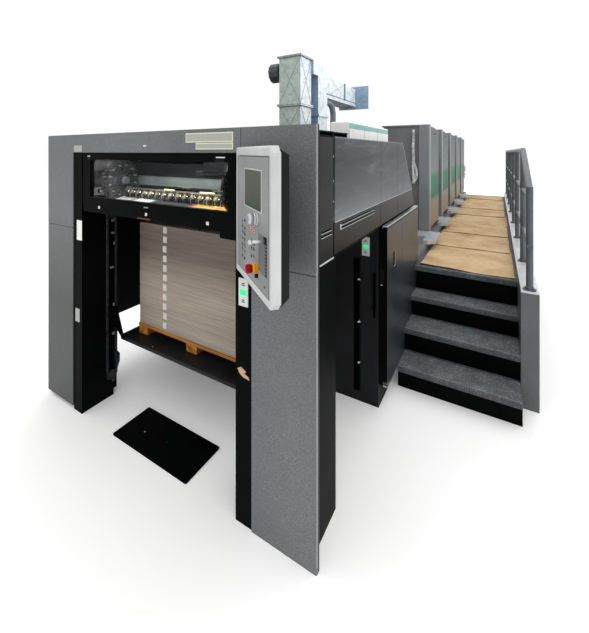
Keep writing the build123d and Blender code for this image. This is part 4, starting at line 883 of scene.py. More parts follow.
def grown_mesh(name, tree, base, item, values):
    """Plain mesh that a geometry group makes out of a base mesh and one repeated item."""
    helper = bpy.data.objects.new(name + "_item", item.plain_mesh(name + "_item"))
    host = bpy.data.objects.new(name, base)
    for added in (helper, host):
        bpy.context.scene.collection.objects.link(added)
    helper.hide_render = True
    grow = host.modifiers.new("grow", "NODES")
    grow.node_group = tree
    values = {"Item": helper, **values}
    for socket in tree.interface.items_tree:
        if socket.in_out == "INPUT" and socket.name in values:
            grow[socket.identifier] = values[socket.name]
    host.update_tag()
    ready = host.evaluated_get(bpy.context.evaluated_depsgraph_get())
    mesh = bpy.data.meshes.new_from_object(ready)
    for done in (host, helper):
        bpy.data.objects.remove(done)
    bpy.data.node_groups.remove(tree)
    if not mesh.polygons:
        raise RuntimeError(f"the geometry group of {name} made nothing")
    return mesh


def along_path(name, points, closed, item, pitch, finish, stands_for=()):
    """Piece made of one item repeated along a path of points in millimetres."""
    path = bpy.data.meshes.new(name + "_path")
    edges = [(index, index + 1) for index in range(len(points) - 1)]
    if closed:
        edges.append((len(points) - 1, 0))
    path.from_pydata([at(*point) for point in points], edges, [])
    mesh = grown_mesh(name, path_tree(), path, item, {"Pitch": pitch, "Finish": MATERIALS[finish]})
    return new_piece(name, mesh, (), PRESS, stands_for)


def on_points(name, points, item, axis, turn, seed, finish):
    """Piece made of one item set on many places given in millimetres."""
    places = bpy.data.meshes.new(name + "_places")
    places.from_pydata([at(*point) for point in points], [], [])
    values = {"Turn": turn, "Seed": seed, "Axis": axis, "Finish": MATERIALS[finish]}
    mesh = grown_mesh(name, point_tree(), places, item, values)
    return new_piece(name, mesh, ())


def item_shape():
    """Shape round the origin, for an item that a geometry group repeats."""
    return Shape(Matrix.Identity(4))


def bundled_sheets(dice, low, high, step, uneven, finish):
    """Pile of sheets drawn in bundles whose edges stand out unevenly."""
    pile = Shape()
    count = int((high.z - low.z) / step)
    step = (high.z - low.z) / count
    for index in range(count):
        under, over = low.copy(), high.copy()
        under.z = low.z + index * step
        over.z = under.z + step
        for axis in range(2):
            under[axis] += dice.uniform(0, uneven)
            over[axis] -= dice.uniform(0, uneven)
        pile.block(under, over, finish)
    return pile


class PRESS_OT_pile(bpy.types.Operator):
    """Bundled sheets with marker slips, the printed top sheet and the pallet's boards"""

    bl_idname = "press.pile"
    bl_label = "Sheet pile"

    def execute(self, context):
        sizes = context.scene.press_sizes
        dice = random.Random(sizes.seed)
        uneven = 1.4
        pile = bundled_sheets(dice, PILE_LOW, PILE_HIGH, sizes.sheet_step / MM, uneven, "paper")
        pile.piece("sheet_bundles", "paper", HOIST, ("paper_pile",))
        self.tags(dice)
        top = Shape()
        margin, thickness = 16, 0.4
        low = (PILE_LOW.x + margin, PILE_LOW.y + margin, PILE_HIGH.z)
        top.block(low, (PILE_HIGH.x - margin, PILE_HIGH.y - margin, PILE_HIGH.z + thickness), "printed")
        top.piece("top_sheet_print", "paper", HOIST)
        self.pallet(dice)
        return {"FINISHED"}

    def tags(self, dice):
        """Marker slips that stick out of the pile one above the other."""
        slips = Shape()
        middle, width, height, pitch, count = -248, 35, 42, 64.5, 11
        first_drop, proud, tucked, shift = 8, 1.2, 3, 2
        for index in range(count):
            top = PILE_HIGH.z - first_drop - index * pitch
            left = middle - width / 2 + dice.uniform(-shift, shift)
            low = (left, PILE_LOW.y - proud, top - height)
            slips.block(low, (left + width, PILE_LOW.y + tucked, top), "tag")
        slips.piece("pile_tags", "paper", HOIST)

    def pallet(self, dice):
        """Skids along the press with deck boards nailed across them."""
        wood = Shape()
        deck, clear = 20, 0.2
        board_pitch, board_gap, board_round = 104, 9, 2
        count = round((PALLET_HIGH.y - PALLET_LOW.y) / board_pitch)
        pitch = (PALLET_HIGH.y - PALLET_LOW.y) / count
        for index in range(count):
            start = PALLET_LOW.y + index * pitch
            low = (PALLET_LOW.x + dice.uniform(0, 3), start, PALLET_HIGH.z - deck + dice.uniform(0, 1.5))
            high = (PALLET_HIGH.x - dice.uniform(0, 3), start + pitch - board_gap, PALLET_HIGH.z - clear)
            wood.block(low, high, "pine_across", board_round)
        skid_width, skid_reach, skid_inset, skid_round = 92, 461, 2, 3
        for middle in (-skid_reach, 0, skid_reach):
            low = (middle - skid_width / 2, PALLET_LOW.y + dice.uniform(0, 4), PALLET_LOW.z)
            high = (middle + skid_width / 2, PALLET_HIGH.y - skid_inset, PALLET_HIGH.z - deck - clear)
            wood.block(low, high, "pine", skid_round)
        wood.piece("pallet_boards", "pallet_wood", HOIST, ("pallet",))


class PRESS_OT_window(bpy.types.Operator):
    """Lamp, wheel hubs, gripper parts and printed sheets behind the window"""

    bl_idname = "press.window"
    bl_label = "Window"

    def execute(self, context):
        works = Shape()
        self.hubs(works)
        self.grippers(works, random.Random(context.scene.press_sizes.seed))
        self.lamp(works)
        works.piece("gripper_works", "dark_steel")
        self.fittings()
        self.sheets()
        self.frame_details()
        return {"FINISHED"}

    def hubs(self, works):
        """Studs on the inner faces of the chain wheels, and the hubs on their shaft."""
        wheel_x, half_width = 500, 15
        stud_count, stud_circle, stud_radius, stud_length, stud_sunk = 12, 100, 6, 12, 8
        for side in (-1, 1):
            inner = side * (wheel_x - half_width)
            for index in range(stud_count):
                angle = math.radians(360 / stud_count * (index + 0.5))
                y = WHEEL_Y + stud_circle * math.cos(angle)
                z = WHEEL_Z + stud_circle * math.sin(angle)
                start, end = inner + side * stud_sunk, inner - side * stud_length
                works.bar((start, y, z), (end, y, z), stud_radius, "edge_dull", 10)
            hub = ((0, 26, 34, "oiled", 24, 28), (0, 44, 24, "steel", 20))
            works.turned((inner, WHEEL_Y, WHEEL_Z), (-side, 0, 0), hub)

    def grippers(self, works, dice):
        """Bushes, springs, pads, blades and pins between the fingers, pale blocks of painted highlight, and
        the rail behind them with glowing strips of painted glint.
        """
        y, top = (GRIPPER_LOW.y + GRIPPER_HIGH.y) / 2, GRIPPER_HIGH.z
        finger_count, first = 15, 420
        pitch = 2 * first / (finger_count - 1)
        bush, spring, pin = 11, 15, 22
        for index in range(finger_count - 1):
            middle = (index + 0.5) * pitch - first
            works.bar((middle - bush, y, top - 14), (middle + bush, y, top - 14), 16, "brass", 14)
            low = (middle - spring, y - 16, top - 20)
            works.bar(low, (middle + spring, y - 16, top - 20), 7, "edge_dull", 10)
            pad_end = middle + 12 + dice.uniform(0, 8)
            works.block((middle - 18, y + 14, top - 6), (pad_end, y + 30, top + 8), "oiled", 2)
            # Pale block of painted highlight in front of the finger
            works.block((middle - 6, y - 34, top - 34), (middle + 8, y - 22, top - 16), "edge_line", 2)
            for blade in (middle - 15, middle + 13):
                works.block((blade - 4, y - 46, top - 40), (blade + 4, y - 26, top - 12), "black", 1)
            works.bar((middle + pin, y - 42, top - 34), (middle + pin, y - 42, top - 10), 3, "edge_dull", 8)
            works.bar((middle - 24, y - 30, top - 8), (middle - 24, y + 10, top - 2), 4, "chrome", 10)
        rail = 480
        works.block((-rail, y + 34, top + 2), (rail, y + 40, top + 8), "brass", 1)
        works.block((-rail, y + 33, top + 8), (rail, y + 41, top + 15), "edge_dull", 1)
        # Glowing strips of painted glint on the rail
        for start, end in ((-130, -40), (175, 285), (420, 470)):
            works.block((start, y + 30, top + 14), (end, y + 36, top + 21), "glint", 1)

    def lamp(self, works):
        """Lamp housing under the roof with its light strip."""
        roof = FRAME_HIGH.z
        works.block((-560, 120, roof - 8), (560, 150, roof + 8), "housing", 2)
        works.block((-420, 124, roof - 11), (540, 146, roof - 8), "lamp")

    def fittings(self):
        """Dark housings, a cross shaft and a bearing at the back of the delivery head."""
        back = Shape()
        roof = FRAME_HIGH.z
        back.block((150, 300, WHEEL_Z + 60), (620, 420, roof + 20), "housing", 6)
        back.block((60, 330, WHEEL_Z + 42), (430, 400, WHEEL_Z + 70), "oiled", 5)
        shaft = ((-600, -470, 20, "oiled", 20), (-470, -462, 26, "steel", 20))
        back.turned((0, 240, WHEEL_Z - 70), (1, 0, 0), shaft)
        back.block((-590, 60, WHEEL_Z - 40), (-560, 90, roof), "housing", 3)
        back.block((-620, 347, 1534), (620, 354, 1622), "housing", 1)
        back.block((-626, 62, 1412), (-600, 150, 1462), "edge_dull", 6)
        bearing = ((-600, -588, 15, "housing", 20), (-588, -580, 9, "steel", 16))
        back.turned((0, 112, 1439), (1, 0, 0), bearing)
        back.piece("head_fittings", "dark_steel")

    def sheets(self):
        """Loose printed sheets in the tray below the grippers."""
        tray = BEAM_HIGH.z + 4
        leaves = Shape()
        # Left and right end, front edge, height of the ends and of the middle over the tray
        rows = (
            (-470, -330, 52, 6, 9, "white_sheet"), (-290, -130, 52, 8, 18, "white_sheet"),
            (-140, 30, 52, 7, 16, "grey_sheet"), (20, 190, 52, 8, 10, "grey_sheet"),
            (180, 560, 52, 5, 6, "pale_sheet"), (120, 226, 88, 10, 13, "pink_print"),
            (214, 318, 82, 10, 14, "yellow_print"), (304, 560, 76, 11, 18, "colour_print"),
        )
        back, rise, parts = 222, 22, 12
        for left, right, front, low, high, finish in rows:
            lower, upper = [], []
            for index in range(parts + 1):
                share = index / parts
                x = left + share * (right - left)
                wave = math.sin(share * math.pi) * (high - low) * 0.6
                wave += math.sin(share * 9.0 + left) * 1.2
                lower.append((x, front + 14 * math.sin(share * 3 + left), tray + low * 0.4 + wave * 0.3))
                upper.append((x, back, tray + low + wave + rise))
            leaves.strip(lower, upper, finish)
        leaves.piece("tray_sheets", "paper")

    def frame_details(self):
        """Small latches and bare marks on the window's frame and beam."""
        marks = Shape()
        face, latch_low, latch_high = FRAME_LOW.y, 1652, 1668
        mark_low, mark_high = latch_high + 3, latch_high + 8
        for left, right in ((-566, -540), (506, 562)):
            marks.block((left, face - 1.2, mark_low), (right, face, mark_high), "white", 0.5)
        for left, right in ((-566, -536), (500, 560)):
            marks.block((left, face - 3, latch_low), (right, face, latch_high), "black", 1.5)
        marks.block((-20, face - 2, BEAM_HIGH.z + 14), (14, face, BEAM_HIGH.z + 20), "steel", 0.6)
        beam, half = BEAM_LOW.y, 8
        for x, z in ((-448, 1354), (-6, 1351), (449, 1349)):
            marks.block((x - half, beam - 1.2, z - half), (x + half, beam, z + half), "white", 0.6)
            marks.bar((x, beam - 1.8, z), (x, beam - 1.0, z), 3, "steel", 8)
        marks.block((-80, beam - 1.5, BEAM_LOW.z + 34), (30, beam, BEAM_LOW.z + 42), "dark_red", 0.6)
        marks.piece("window_marks", "frame_black")


class PRESS_OT_front(bpy.types.Operator):
    """Bare plates, a painted highlight along a panel edge, status marks and worn paint of the delivery front
    """

    bl_idname = "press.front"
    bl_label = "Front details"

    # How far the posts' face lies behind the front panels
    post_face = 6

    def execute(self, context):
        self.plates()
        # Painted highlight: a thin bright line along the right panel's outer edge
        edges = Shape()
        panel, width, foot = (LEG_HIGH.x - MIDDLE) / MM, 1.6, 30
        edges.block((panel - width, 3, foot), (panel, 6, HEADER_HIGH.z), "edge_line", 0.5)
        edges.piece("panel_edges", "front_grey")
        self.status_marks()
        worn = Shape()
        outline = (
            (638, 705), (660, 716), (688, 700), (676, 690), (700, 682), (706, 668), (672, 672), (650, 684)
        )
        proud = 0.8
        worn.prism([(x, self.post_face - proud, z) for x, z in outline], (0, proud, 0), "tan")
        worn.piece("worn_patch", "frame_black")
        return {"FINISHED"}

    def plates(self):
        """Two rimmed name plates without print, and smaller bare plates on the panels and the left post."""
        plates = Shape()
        proud, rim = 2.0, 5
        for left, right, low, high in ((314, 618, 1747, 1794), (384, 618, 1712, 1744)):
            plates.block((left, -proud, low), (right, 0, high), "cream", 0.6)
            inner = (right - rim, -proud, high - rim)
            plates.block((left + rim, -proud - 0.5, low + rim), inner, "bare_plate", 0.2)
        plates.block((-707, -1.5, 1702), (-615, 0, 1742), "bare_plate", 0.5)
        plates.block((-14, -1.2, 1730), (9, 0, 1737), "white", 0.4)
        face = self.post_face
        plates.block((-684, face - 1.5, 1124), (-626, face, 1254), "white", 0.6)
        plates.block((-700, face - 1.5, 588), (-652, face, 674), "bare_plate", 0.6)
        plates.piece("bare_plates", "console_grey")

    def status_marks(self):
        """Plain dark bars over and under each lit lens."""
        status = Shape()
        lens_low, lens_high = press_box("status_lenses")
        lens_z, proud, offset = (lens_low.z + lens_high.z) / 2, 0.8, 38
        for x, y in ((674, 1), (900, 1083)):
            for z in (lens_z - offset, lens_z + offset):
                status.block((x - 9, y - proud, z - 7), (x + 9, y, z - 3), "black")
                status.block((x - 7, y - proud, z + 1), (x + 7, y, z + 5), "black")
        status.piece("status_marks", "console_grey")


CONSOLE_PLACE = (643, -8, 1163)
CONSOLE_TURN = 38.5
# Thickness of the foil on the console's face
FOIL = 0.8


def console_frame():
    """Frame on the console's face: X along it, Y up and Z out of it."""
    turn = math.radians(CONSOLE_TURN)
    along = Vector((math.cos(turn), -math.sin(turn), 0))
    up = Vector((0, 0, 1))
    axes = Matrix((along, up, along.cross(up))).transposed().to_4x4()
    return Matrix.Translation(at(*CONSOLE_PLACE)) @ axes


class PRESS_OT_console(bpy.types.Operator):
    """Key field, screen rim, knob, lever and stop button of the console"""

    bl_idname = "press.console"
    bl_label = "Console"

    def execute(self, context):
        face = Shape(console_frame())
        self.field(face)
        self.screen_rim(face)
        self.keys(face, random.Random(context.scene.press_sizes.seed))
        face.piece("console_face", "console_grey")
        self.controls()
        return {"FINISHED"}

    def field(self, face):
        """Foil over the key field, with a dark line on two sides and a row of ticks on top."""
        left, right, low, high = 20, 455, 37, 522
        face.block((left, low, 0), (right, high, FOIL), "console_field", 0.3)
        line, line_proud = 1.6, 1.0
        face.block((right, low, 0), (right + line, high, line_proud), "seam")
        face.block((left, low - line, 0), (right + line, low, line_proud), "seam")
        tick_count, tick_first, tick_pitch, tick_width = 62, 52, 6.5, 4
        for index in range(tick_count):
            u = tick_first + index * tick_pitch
            face.block((u, high - 3, FOIL), (u + tick_width, high + 0.5, 1.3), "seam")

    def screen_rim(self, face):
        """Raised rim round the screen."""
        left, right, low, high = 153, 373, 319, 467
        rim, proud = 5, 3.0
        for start, end, under, over in (
            (left - rim, right + rim, high, high + rim), (left - rim, right + rim, low - rim, low),
            (left - rim, left, low, high), (right, right + rim, low, high),
        ):
            face.block((start, under, FOIL), (end, over, proud), "console", 1)

    def keys(self, face, dice):
        """Sub-panel with its scale, two fields of generic key marks and six orange keys."""
        panel_proud, mark_proud = 2.4, 3.0
        face.block((340, 101, FOIL), (437, 240, panel_proud), "sub_panel", 0.8)
        for index in range(11):
            v = 106 + index * 12
            face.block((420, v, panel_proud), (436, v + 6, mark_proud), "black")
        face.block((400, 60, FOIL), (412, 66, 1.4), "black")
        columns, row_pitch, loose = 2, 25, 3
        for first, last, low_row, high_row in ((98, 164, 96, 274), (232, 300, 136, 220)):
            for row in range(int((high_row - low_row) / row_pitch)):
                for column in range(columns):
                    u = first + (column + 0.5) * (last - first) / columns + dice.uniform(-loose, loose)
                    self.symbol(face, u, low_row + row * row_pitch + dice.uniform(-loose, loose), dice)
        for u, v in ((238, 262), (262, 260), (286, 258), (238, 238), (262, 236), (286, 234)):
            face.block((u - 9, v - 9, FOIL), (u + 9, v + 9, panel_proud), "orange", 0.6)
            face.block((u - 6, v - 6, panel_proud), (u + 6, v + 6, 2.9), "console")
            face.block((u - 4, v - 2, 2.9), (u + 4, v + 2, 3.3), "black")

    def symbol(self, face, u, v, dice):
        """One generic key mark: two or three short bars on the foil."""
        for _ in range(dice.choice((2, 2, 3))):
            across, up = dice.choice(((9, 2.2), (2.6, 8), (6, 2.2)))
            a, b = u + dice.uniform(-4, 4), v + dice.uniform(-5, 5)
            face.block((a - across, b - up, FOIL), (a + across, b + up, 1.5), "black")

    def controls(self):
        """Turned knob, ball lever, stop button, small button and its pin."""
        parts = Shape(console_frame())
        out = (0, 0, 1)
        knob = (
            (FOIL, 7, 24, "console", 32), (7, 17, 22, "knob", 32), (17, 19, 18.5, "seam", 32),
            (19, 36, 21, "knob", 32, 20), (36, 38, 20, "knob", 32, 17),
        )
        parts.turned((318, 288, 0), out, knob)
        lever_u, lever_v, lever_end = 421, 228, 57
        parts.block((lever_u - 12, lever_v - 12, FOIL), (lever_u + 12, lever_v + 12, 6), "black", 2)
        parts.turned((lever_u, lever_v, 0), out, ((4, lever_end, 4.5, "knob", 20, 6),))
        parts.ball((lever_u, lever_v, lever_end), 9, "knob")
        stop_u, stop_v = 318, 104
        stop = (
            (FOIL, 6, 18, "yellow", 32), (6, 21, 15, "yellow", 32, 16), (21, 25, 13, "red", 32, 15),
            (25, 39, 17, "red", 32), (39, 43, 17, "red", 32, 13),
        )
        parts.turned((stop_u, stop_v, 0), out, stop)
        parts.turned((stop_u + 8, stop_v - 27, 0), out, ((FOIL, 11, 8, "black", 24, 7),))
        parts.bar((stop_u + 12, stop_v + 1, FOIL), (stop_u + 40, stop_v - 2, FOIL), 2.5, "steel", 8)
        parts.piece("console_knobs", "steel", PRESS, ("console_controls", "emergency_stop"))


class PRESS_OT_side(bpy.types.Operator):
    """Louvre lips and bright edges of painted highlight, louvre mouths and slots of painted shade, door pulls
    and slot bolts of the operator side
    """

    bl_idname = "press.side"
    bl_label = "Side covers"

    # Outer face of the side covers, and the bay cabinet's front and outer face
    cover_face = 1038
    cabinet_front = 1099
    cabinet_face = 1038

    def execute(self, context):
        trim = Shape()
        self.louvres(trim)
        self.pulls(trim)
        self.cover_edges(trim)
        self.cabinet(trim)
        trim.piece("side_trim", "cover_dark")
        self.bolts(context.scene.press_sizes)
        return {"FINISHED"}

    def louvres(self, trim):
        """Two louvres with lips of painted highlight and mouths of painted shade, and bright edges of painted
        highlight that end them.
        """
        outer = self.cover_face
        for start, end in ((50, 160), (264, 813)):
            for z in (1367, 1350):
                # Bright lips are painted highlight; the black blocks behind them are painted shade in the
                # mouths
                trim.block((outer - 2, start, z - 10.5), (outer + 1, end, z - 8.2), "edge_line", 0.4)
                trim.block((outer - 11.5, start + 1, z - 8.8), (outer - 9, end - 1, z - 0.2), "rubber")
        trim.block((outer - 2, 262, 1341), (outer + 1.5, 272, 1367), "edge_line", 0.5)
        trim.block((1002, 34, 1229), (outer + 2, 180, 1236), "edge_line", 1)

    def pulls(self, trim):
        """Foot edge of the cabinet doors drawn as a line of painted highlight, and the recessed pull with its
        rim.
        """
        face, proud = self.cabinet_face, self.cabinet_face + 3.5
        trim.block((1011, 1101, 144), (face + 2, 1900, 149), "edge_line", 0.6)
        trim.block((face, 1262, 900), (proud, 1274, 1003), "seam", 0.6)
        trim.block((face, 1308, 902), (proud, 1312, 1002), "edge_line", 0.6)
        trim.block((face, 1275, 899), (proud, 1310, 903), "edge_line", 0.6)

    def cover_edges(self, trim):
        """Screws, joints, and lines of painted highlight along the bottom, top and slanted edges of the cover
        doors.
        """
        outer = self.cover_face
        for z in (1570, 1480, 1680):
            trim.bar((outer - 1, 184, z), (outer - 30, 184, z), 4, "steel", 10)
        for y in (946, 1388):
            trim.block((outer - 1, y - 2.5, 1246), (outer + 0.6, y, 1378), "seam")
        low, high = press_box("side_cover_doors")
        slant, line, proud = 353, 5, 1.2
        top_end, low_end = high.y - slant, high.y - 3
        trim.block((outer - 1, low.y, low.z), (outer + proud, low_end, low.z + 3), "edge_line")
        trim.block((outer - 1, low.y, high.z - 4), (outer + 1, top_end, high.z), "edge_dull")
        outline = (
            (outer, top_end, high.z), (outer, top_end - line, high.z),
            (outer, low_end - line, low.z), (outer, low_end, low.z),
        )
        trim.prism(outline, (proud, 0, 0), "edge_line")

    def cabinet(self, trim):
        """Corner post, handle and deep slots on the cabinet's front, the slots drawn as black sheets of
        painted shadow, and the rim over its doors, a dark strip of painted shade below the bright trim's lit
        top.
        """
        face, front = self.cabinet_face, self.cabinet_front
        trim.block((face - 50, front - 5, 180), (face, front + 0.8, 1190), "frame", 1)
        trim.block((994, front - 7, 822), (1020, front - 2, 925), "rubber", 1)
        trim.block((998, front - 7.5, 814), (1010, front - 3, 820), "edge_line", 0.6)
        # Slots drawn as black sheets of painted shadow
        for left, right, low, high in ((816, 855, 69, 969), (950, 963, 590, 891)):
            trim.block((left, front - 12.4, low), (right, front - 10.6, high), "void")
        trim.block((face, 1275, 903), (face + 2.5, 1308, 1002), "rubber", 0.4)
        # Rim over the doors: a dark strip of painted shade over the lower half of the bright trim
        trim.block((1012, front, 1188), (face + 2.8, 2180.6, 1202), "cover_dark", 0.8)

    def bolts(self, sizes):
        """Cap screws with washers in the slot beside the pile bay."""
        places = [(850, 1092, z) for z in (830, 541, 263)]
        radius = sizes.bolt_radius / MM
        head = item_shape()
        steps = (
            (0, 10, radius, "steel", 18), (10, 13, radius, "steel", 18, radius * 0.7),
            (2, 4, radius * 1.6, "steel", 18),
        )
        head.turned((0, 0, 0), (0, -1, 0), steps)
        on_points("slot_bolts", places, head, (0, 1, 0), 3.0, sizes.seed, "chrome")


class PRESS_OT_roof(bpy.types.Operator):
    """Duct creases and screws, blower bolts, roof rails and lids, box stripe and the ribbed hose"""

    bl_idname = "press.roof"
    bl_label = "Roof and ducts"

    # Height of the main duct's joint ring, and of its flanges
    ring, ring_height, flange = 2023, 18, 12

    def execute(self, context):
        sizes = context.scene.press_sizes
        folds = Shape()
        self.main_duct(folds)
        self.rear_duct(folds)
        self.blower(folds)
        folds.piece("duct_folds", "galvanised")
        self.screws(sizes)
        self.rails()
        self.stripe()
        self.hose(sizes)
        return {"FINISHED"}

    def main_duct(self, folds):
        """Cross-broken sheets of the main duct, their creases drawn as lines of painted shade, with the joint
        rings between them and thin lines of painted shadow under the flanges.
        """
        low, high = press_box("exhaust_duct")
        ring, ring_height, flange = self.ring, self.ring_height, self.flange
        x0, x1 = low.x + flange, high.x - flange
        y0, y1 = low.y + flange, high.y - flange
        top = high.z - flange
        thick, width = 1.1, 2.4
        # Cross breaks drawn as thin lines of painted shade on the front and the operator side
        for z0, z1 in ((low.z, ring), (ring + ring_height, top)):
            for (a, a_z), (b, b_z) in (((x0, z0), (x1, z1)), ((x1, z0), (x0, z1))):
                outline = (
                    (a - width, y0, a_z), (a + width, y0, a_z), (b + width, y0, b_z), (b - width, y0, b_z)
                )
                folds.prism(outline, (0, -thick, 0), "crease")
            for (a, a_z), (b, b_z) in (((y0, z0), (y1, z1)), ((y1, z0), (y0, z1))):
                outline = (
                    (x1, a - width, a_z), (x1, a + width, a_z), (x1, b + width, b_z), (x1, b - width, b_z)
                )
                folds.prism(outline, (thick, 0, 0), "crease")
        for z in (ring + ring_height * 0.5, top + 5):
            folds.block((low.x - 0.6, low.y - 0.6, z - 1), (high.x + 0.6, high.y + 0.6, z + 1), "seam")
        folds.block((x0 - 2, y0 - 2, low.z), (x1 + 2, y1 + 2, low.z + 14), "zinc", 1)
        # Painted shadow: thin darker strips under the joint ring and the top flange
        for z in (ring - 5, top - 6):
            folds.block((x0 - 1.5, y0 - 1.5, z), (x1 + 1.5, y1 + 1.5, z + 4.5), "pipe")

    def rear_duct(self, folds):
        """Joint, foot lip and cross break on the side of the rear duct's level run; the cross break is drawn
        as lines of painted shade.
        """
        face, lip = press_box("rear_duct")[1].x, 1.2
        low, high = 2108, 2232
        joint, start, end, width = 1388, 1100, 1380, 6
        folds.block((face - 9, joint, low - 4), (face + lip, joint + 12, high + 4), "pipe", 1)
        folds.block((face - 9, 1040, low), (face + lip, 1900, low + 5), "pipe", 1)
        for below, above in ((start, end), (end, start)):
            outline = (
                (face, below, low + 8), (face, below + width, low + 8),
                (face, above + width, high - 6), (face, above, high - 6),
            )
            folds.prism(outline, (lip, 0, 0), "crease")

    def blower(self, folds):
        """Inlet and bolt circle of the blower on the roof."""
        low, high = press_box("exhaust_blower")
        middle_y = (low.y + high.y) / 2
        middle_z = (low.z + high.z) / 2
        bolt_count, bolt_circle = 8, 56
        folds.bar((low.x + 1, middle_y, middle_z), (low.x + 30, middle_y, middle_z), 40, "oiled", 28)
        for index in range(bolt_count):
            angle = math.radians(360 / bolt_count * index)
            y = middle_y + bolt_circle * math.cos(angle)
            z = middle_z + bolt_circle * math.sin(angle)
            folds.bar((low.x, y, z), (low.x + 20, y, z), 5, "steel", 8)

    def screws(self, sizes):
        """Screws on the main duct's joint ring and on the rear duct's front."""
        low, high = press_box("exhaust_duct")
        rear_low, rear_high = press_box("rear_duct")
        ring_z = self.ring + self.ring_height / 2
        points = [(low.x + share * (high.x - low.x), low.y, ring_z) for share in (0.1, 0.37, 0.63, 0.9)]
        for share in (0.12, 0.5, 0.88):
            for z in (2192, 2228, 2268):
                points.append((rear_low.x + 20 + share * 250, rear_high.y - 26, z))
        screw = item_shape()
        screw.bar((0, 1, 0), (0, -3, 0), 6, "steel", 12, 4.5)
        on_points("duct_screws", points, screw, (0, 1, 0), 3.0, sizes.seed, "steel")

    def rails(self):
        """Dark cable rails beside the roof's edge, and two flat lids."""
        top = press_box("delivery_roof")[1].z
        fittings = Shape()
        rail_width, bar_width = 14, 16
        for z, height in ((top + 2, 10), (top + 24, 7)):
            for x in (905, 948, 984):
                fittings.block((x, 60, z), (x + rail_width, 470, z + height), "frame", 1.5)
        for y in (90, 260, 440):
            fittings.block((902, y, top), (1000, y + bar_width, top + 32), "frame", 1.5)
        fittings.block((560, 330, top), (800, 520, top + 26), "cover", 4)
        fittings.block((-760, 300, top), (-260, 900, top + 30), "cover", 6)
        fittings.piece("roof_rails", "frame_black")

    def stripe(self):
        """Teal stripe and dark joints of the powder box."""
        low, high = press_box("powder_box")
        stripe = Shape()
        face, sunk, seam = high.x, 0.2, 2
        stripe.block((face - sunk, low.y + 8, high.z - 42), (face + 0.8, high.y - 4, high.z - 9), "teal", 0.3)
        stripe.block((low.x, low.y + 4, low.z + 4), (face + 1.2, low.y + 7, low.z + 70), "seam")
        for y in (low.y + 300, low.y + 610):
            stripe.block((face - sunk, y, low.z + 2), (face + 0.6, y + seam, high.z - 44), "seam")
        stripe.piece("powder_box_stripe", "powder_white")

    def hose(self, sizes):
        """Flexible metal hose: rings at an even pitch along a slightly wavy path."""
        low, high = press_box("metal_hose")
        radius, neck = 19.0, 0.62
        x = (low.x + high.x) / 2
        y = low.y + radius
        end_gap = 4
        reach = high.z - low.z - 2 * end_gap
        strands = (
            ("hose_ribs", 0, 0.0, 1.0, 40, ("metal_hose",)),
            ("hose_slack", 36, 0.02, 0.4, 18, ()),
        )
        for name, shift, start, end, count, stands_for in strands:
            path = []
            for index in range(count + 1):
                share = start + (end - start) * index / count
                slack = 2.5 + 9.0 * max(0, 0.4 - share)
                bend = shift * math.sin(math.pi * min(1, (share - start) / (end - start)))
                across = x + bend + slack * math.sin(share * 16)
                along = y + 2.0 * math.sin(share * 23 + 1)
                path.append((across, along, low.z + end_gap + share * reach))
            half = sizes.rib_pitch / MM / 2
            rib = item_shape()
            rib.bar((0, 0, -half), (0, 0, 0), radius * neck, "zinc", 18, radius)
            rib.bar((0, 0, 0), (0, 0, half), radius, "zinc", 18, radius * neck)
            along_path(name, path, False, rib, sizes.rib_pitch, "foil", stands_for)
        clips = Shape()
        clip_half, clip_height = 21, 12
        for z in (low.z + 6, high.z - 46):
            clips.block((x - clip_half, low.y, z), (x + clip_half, high.y, z + clip_height), "steel", 1.5)
        clips.piece("hose_clips", "galvanised")


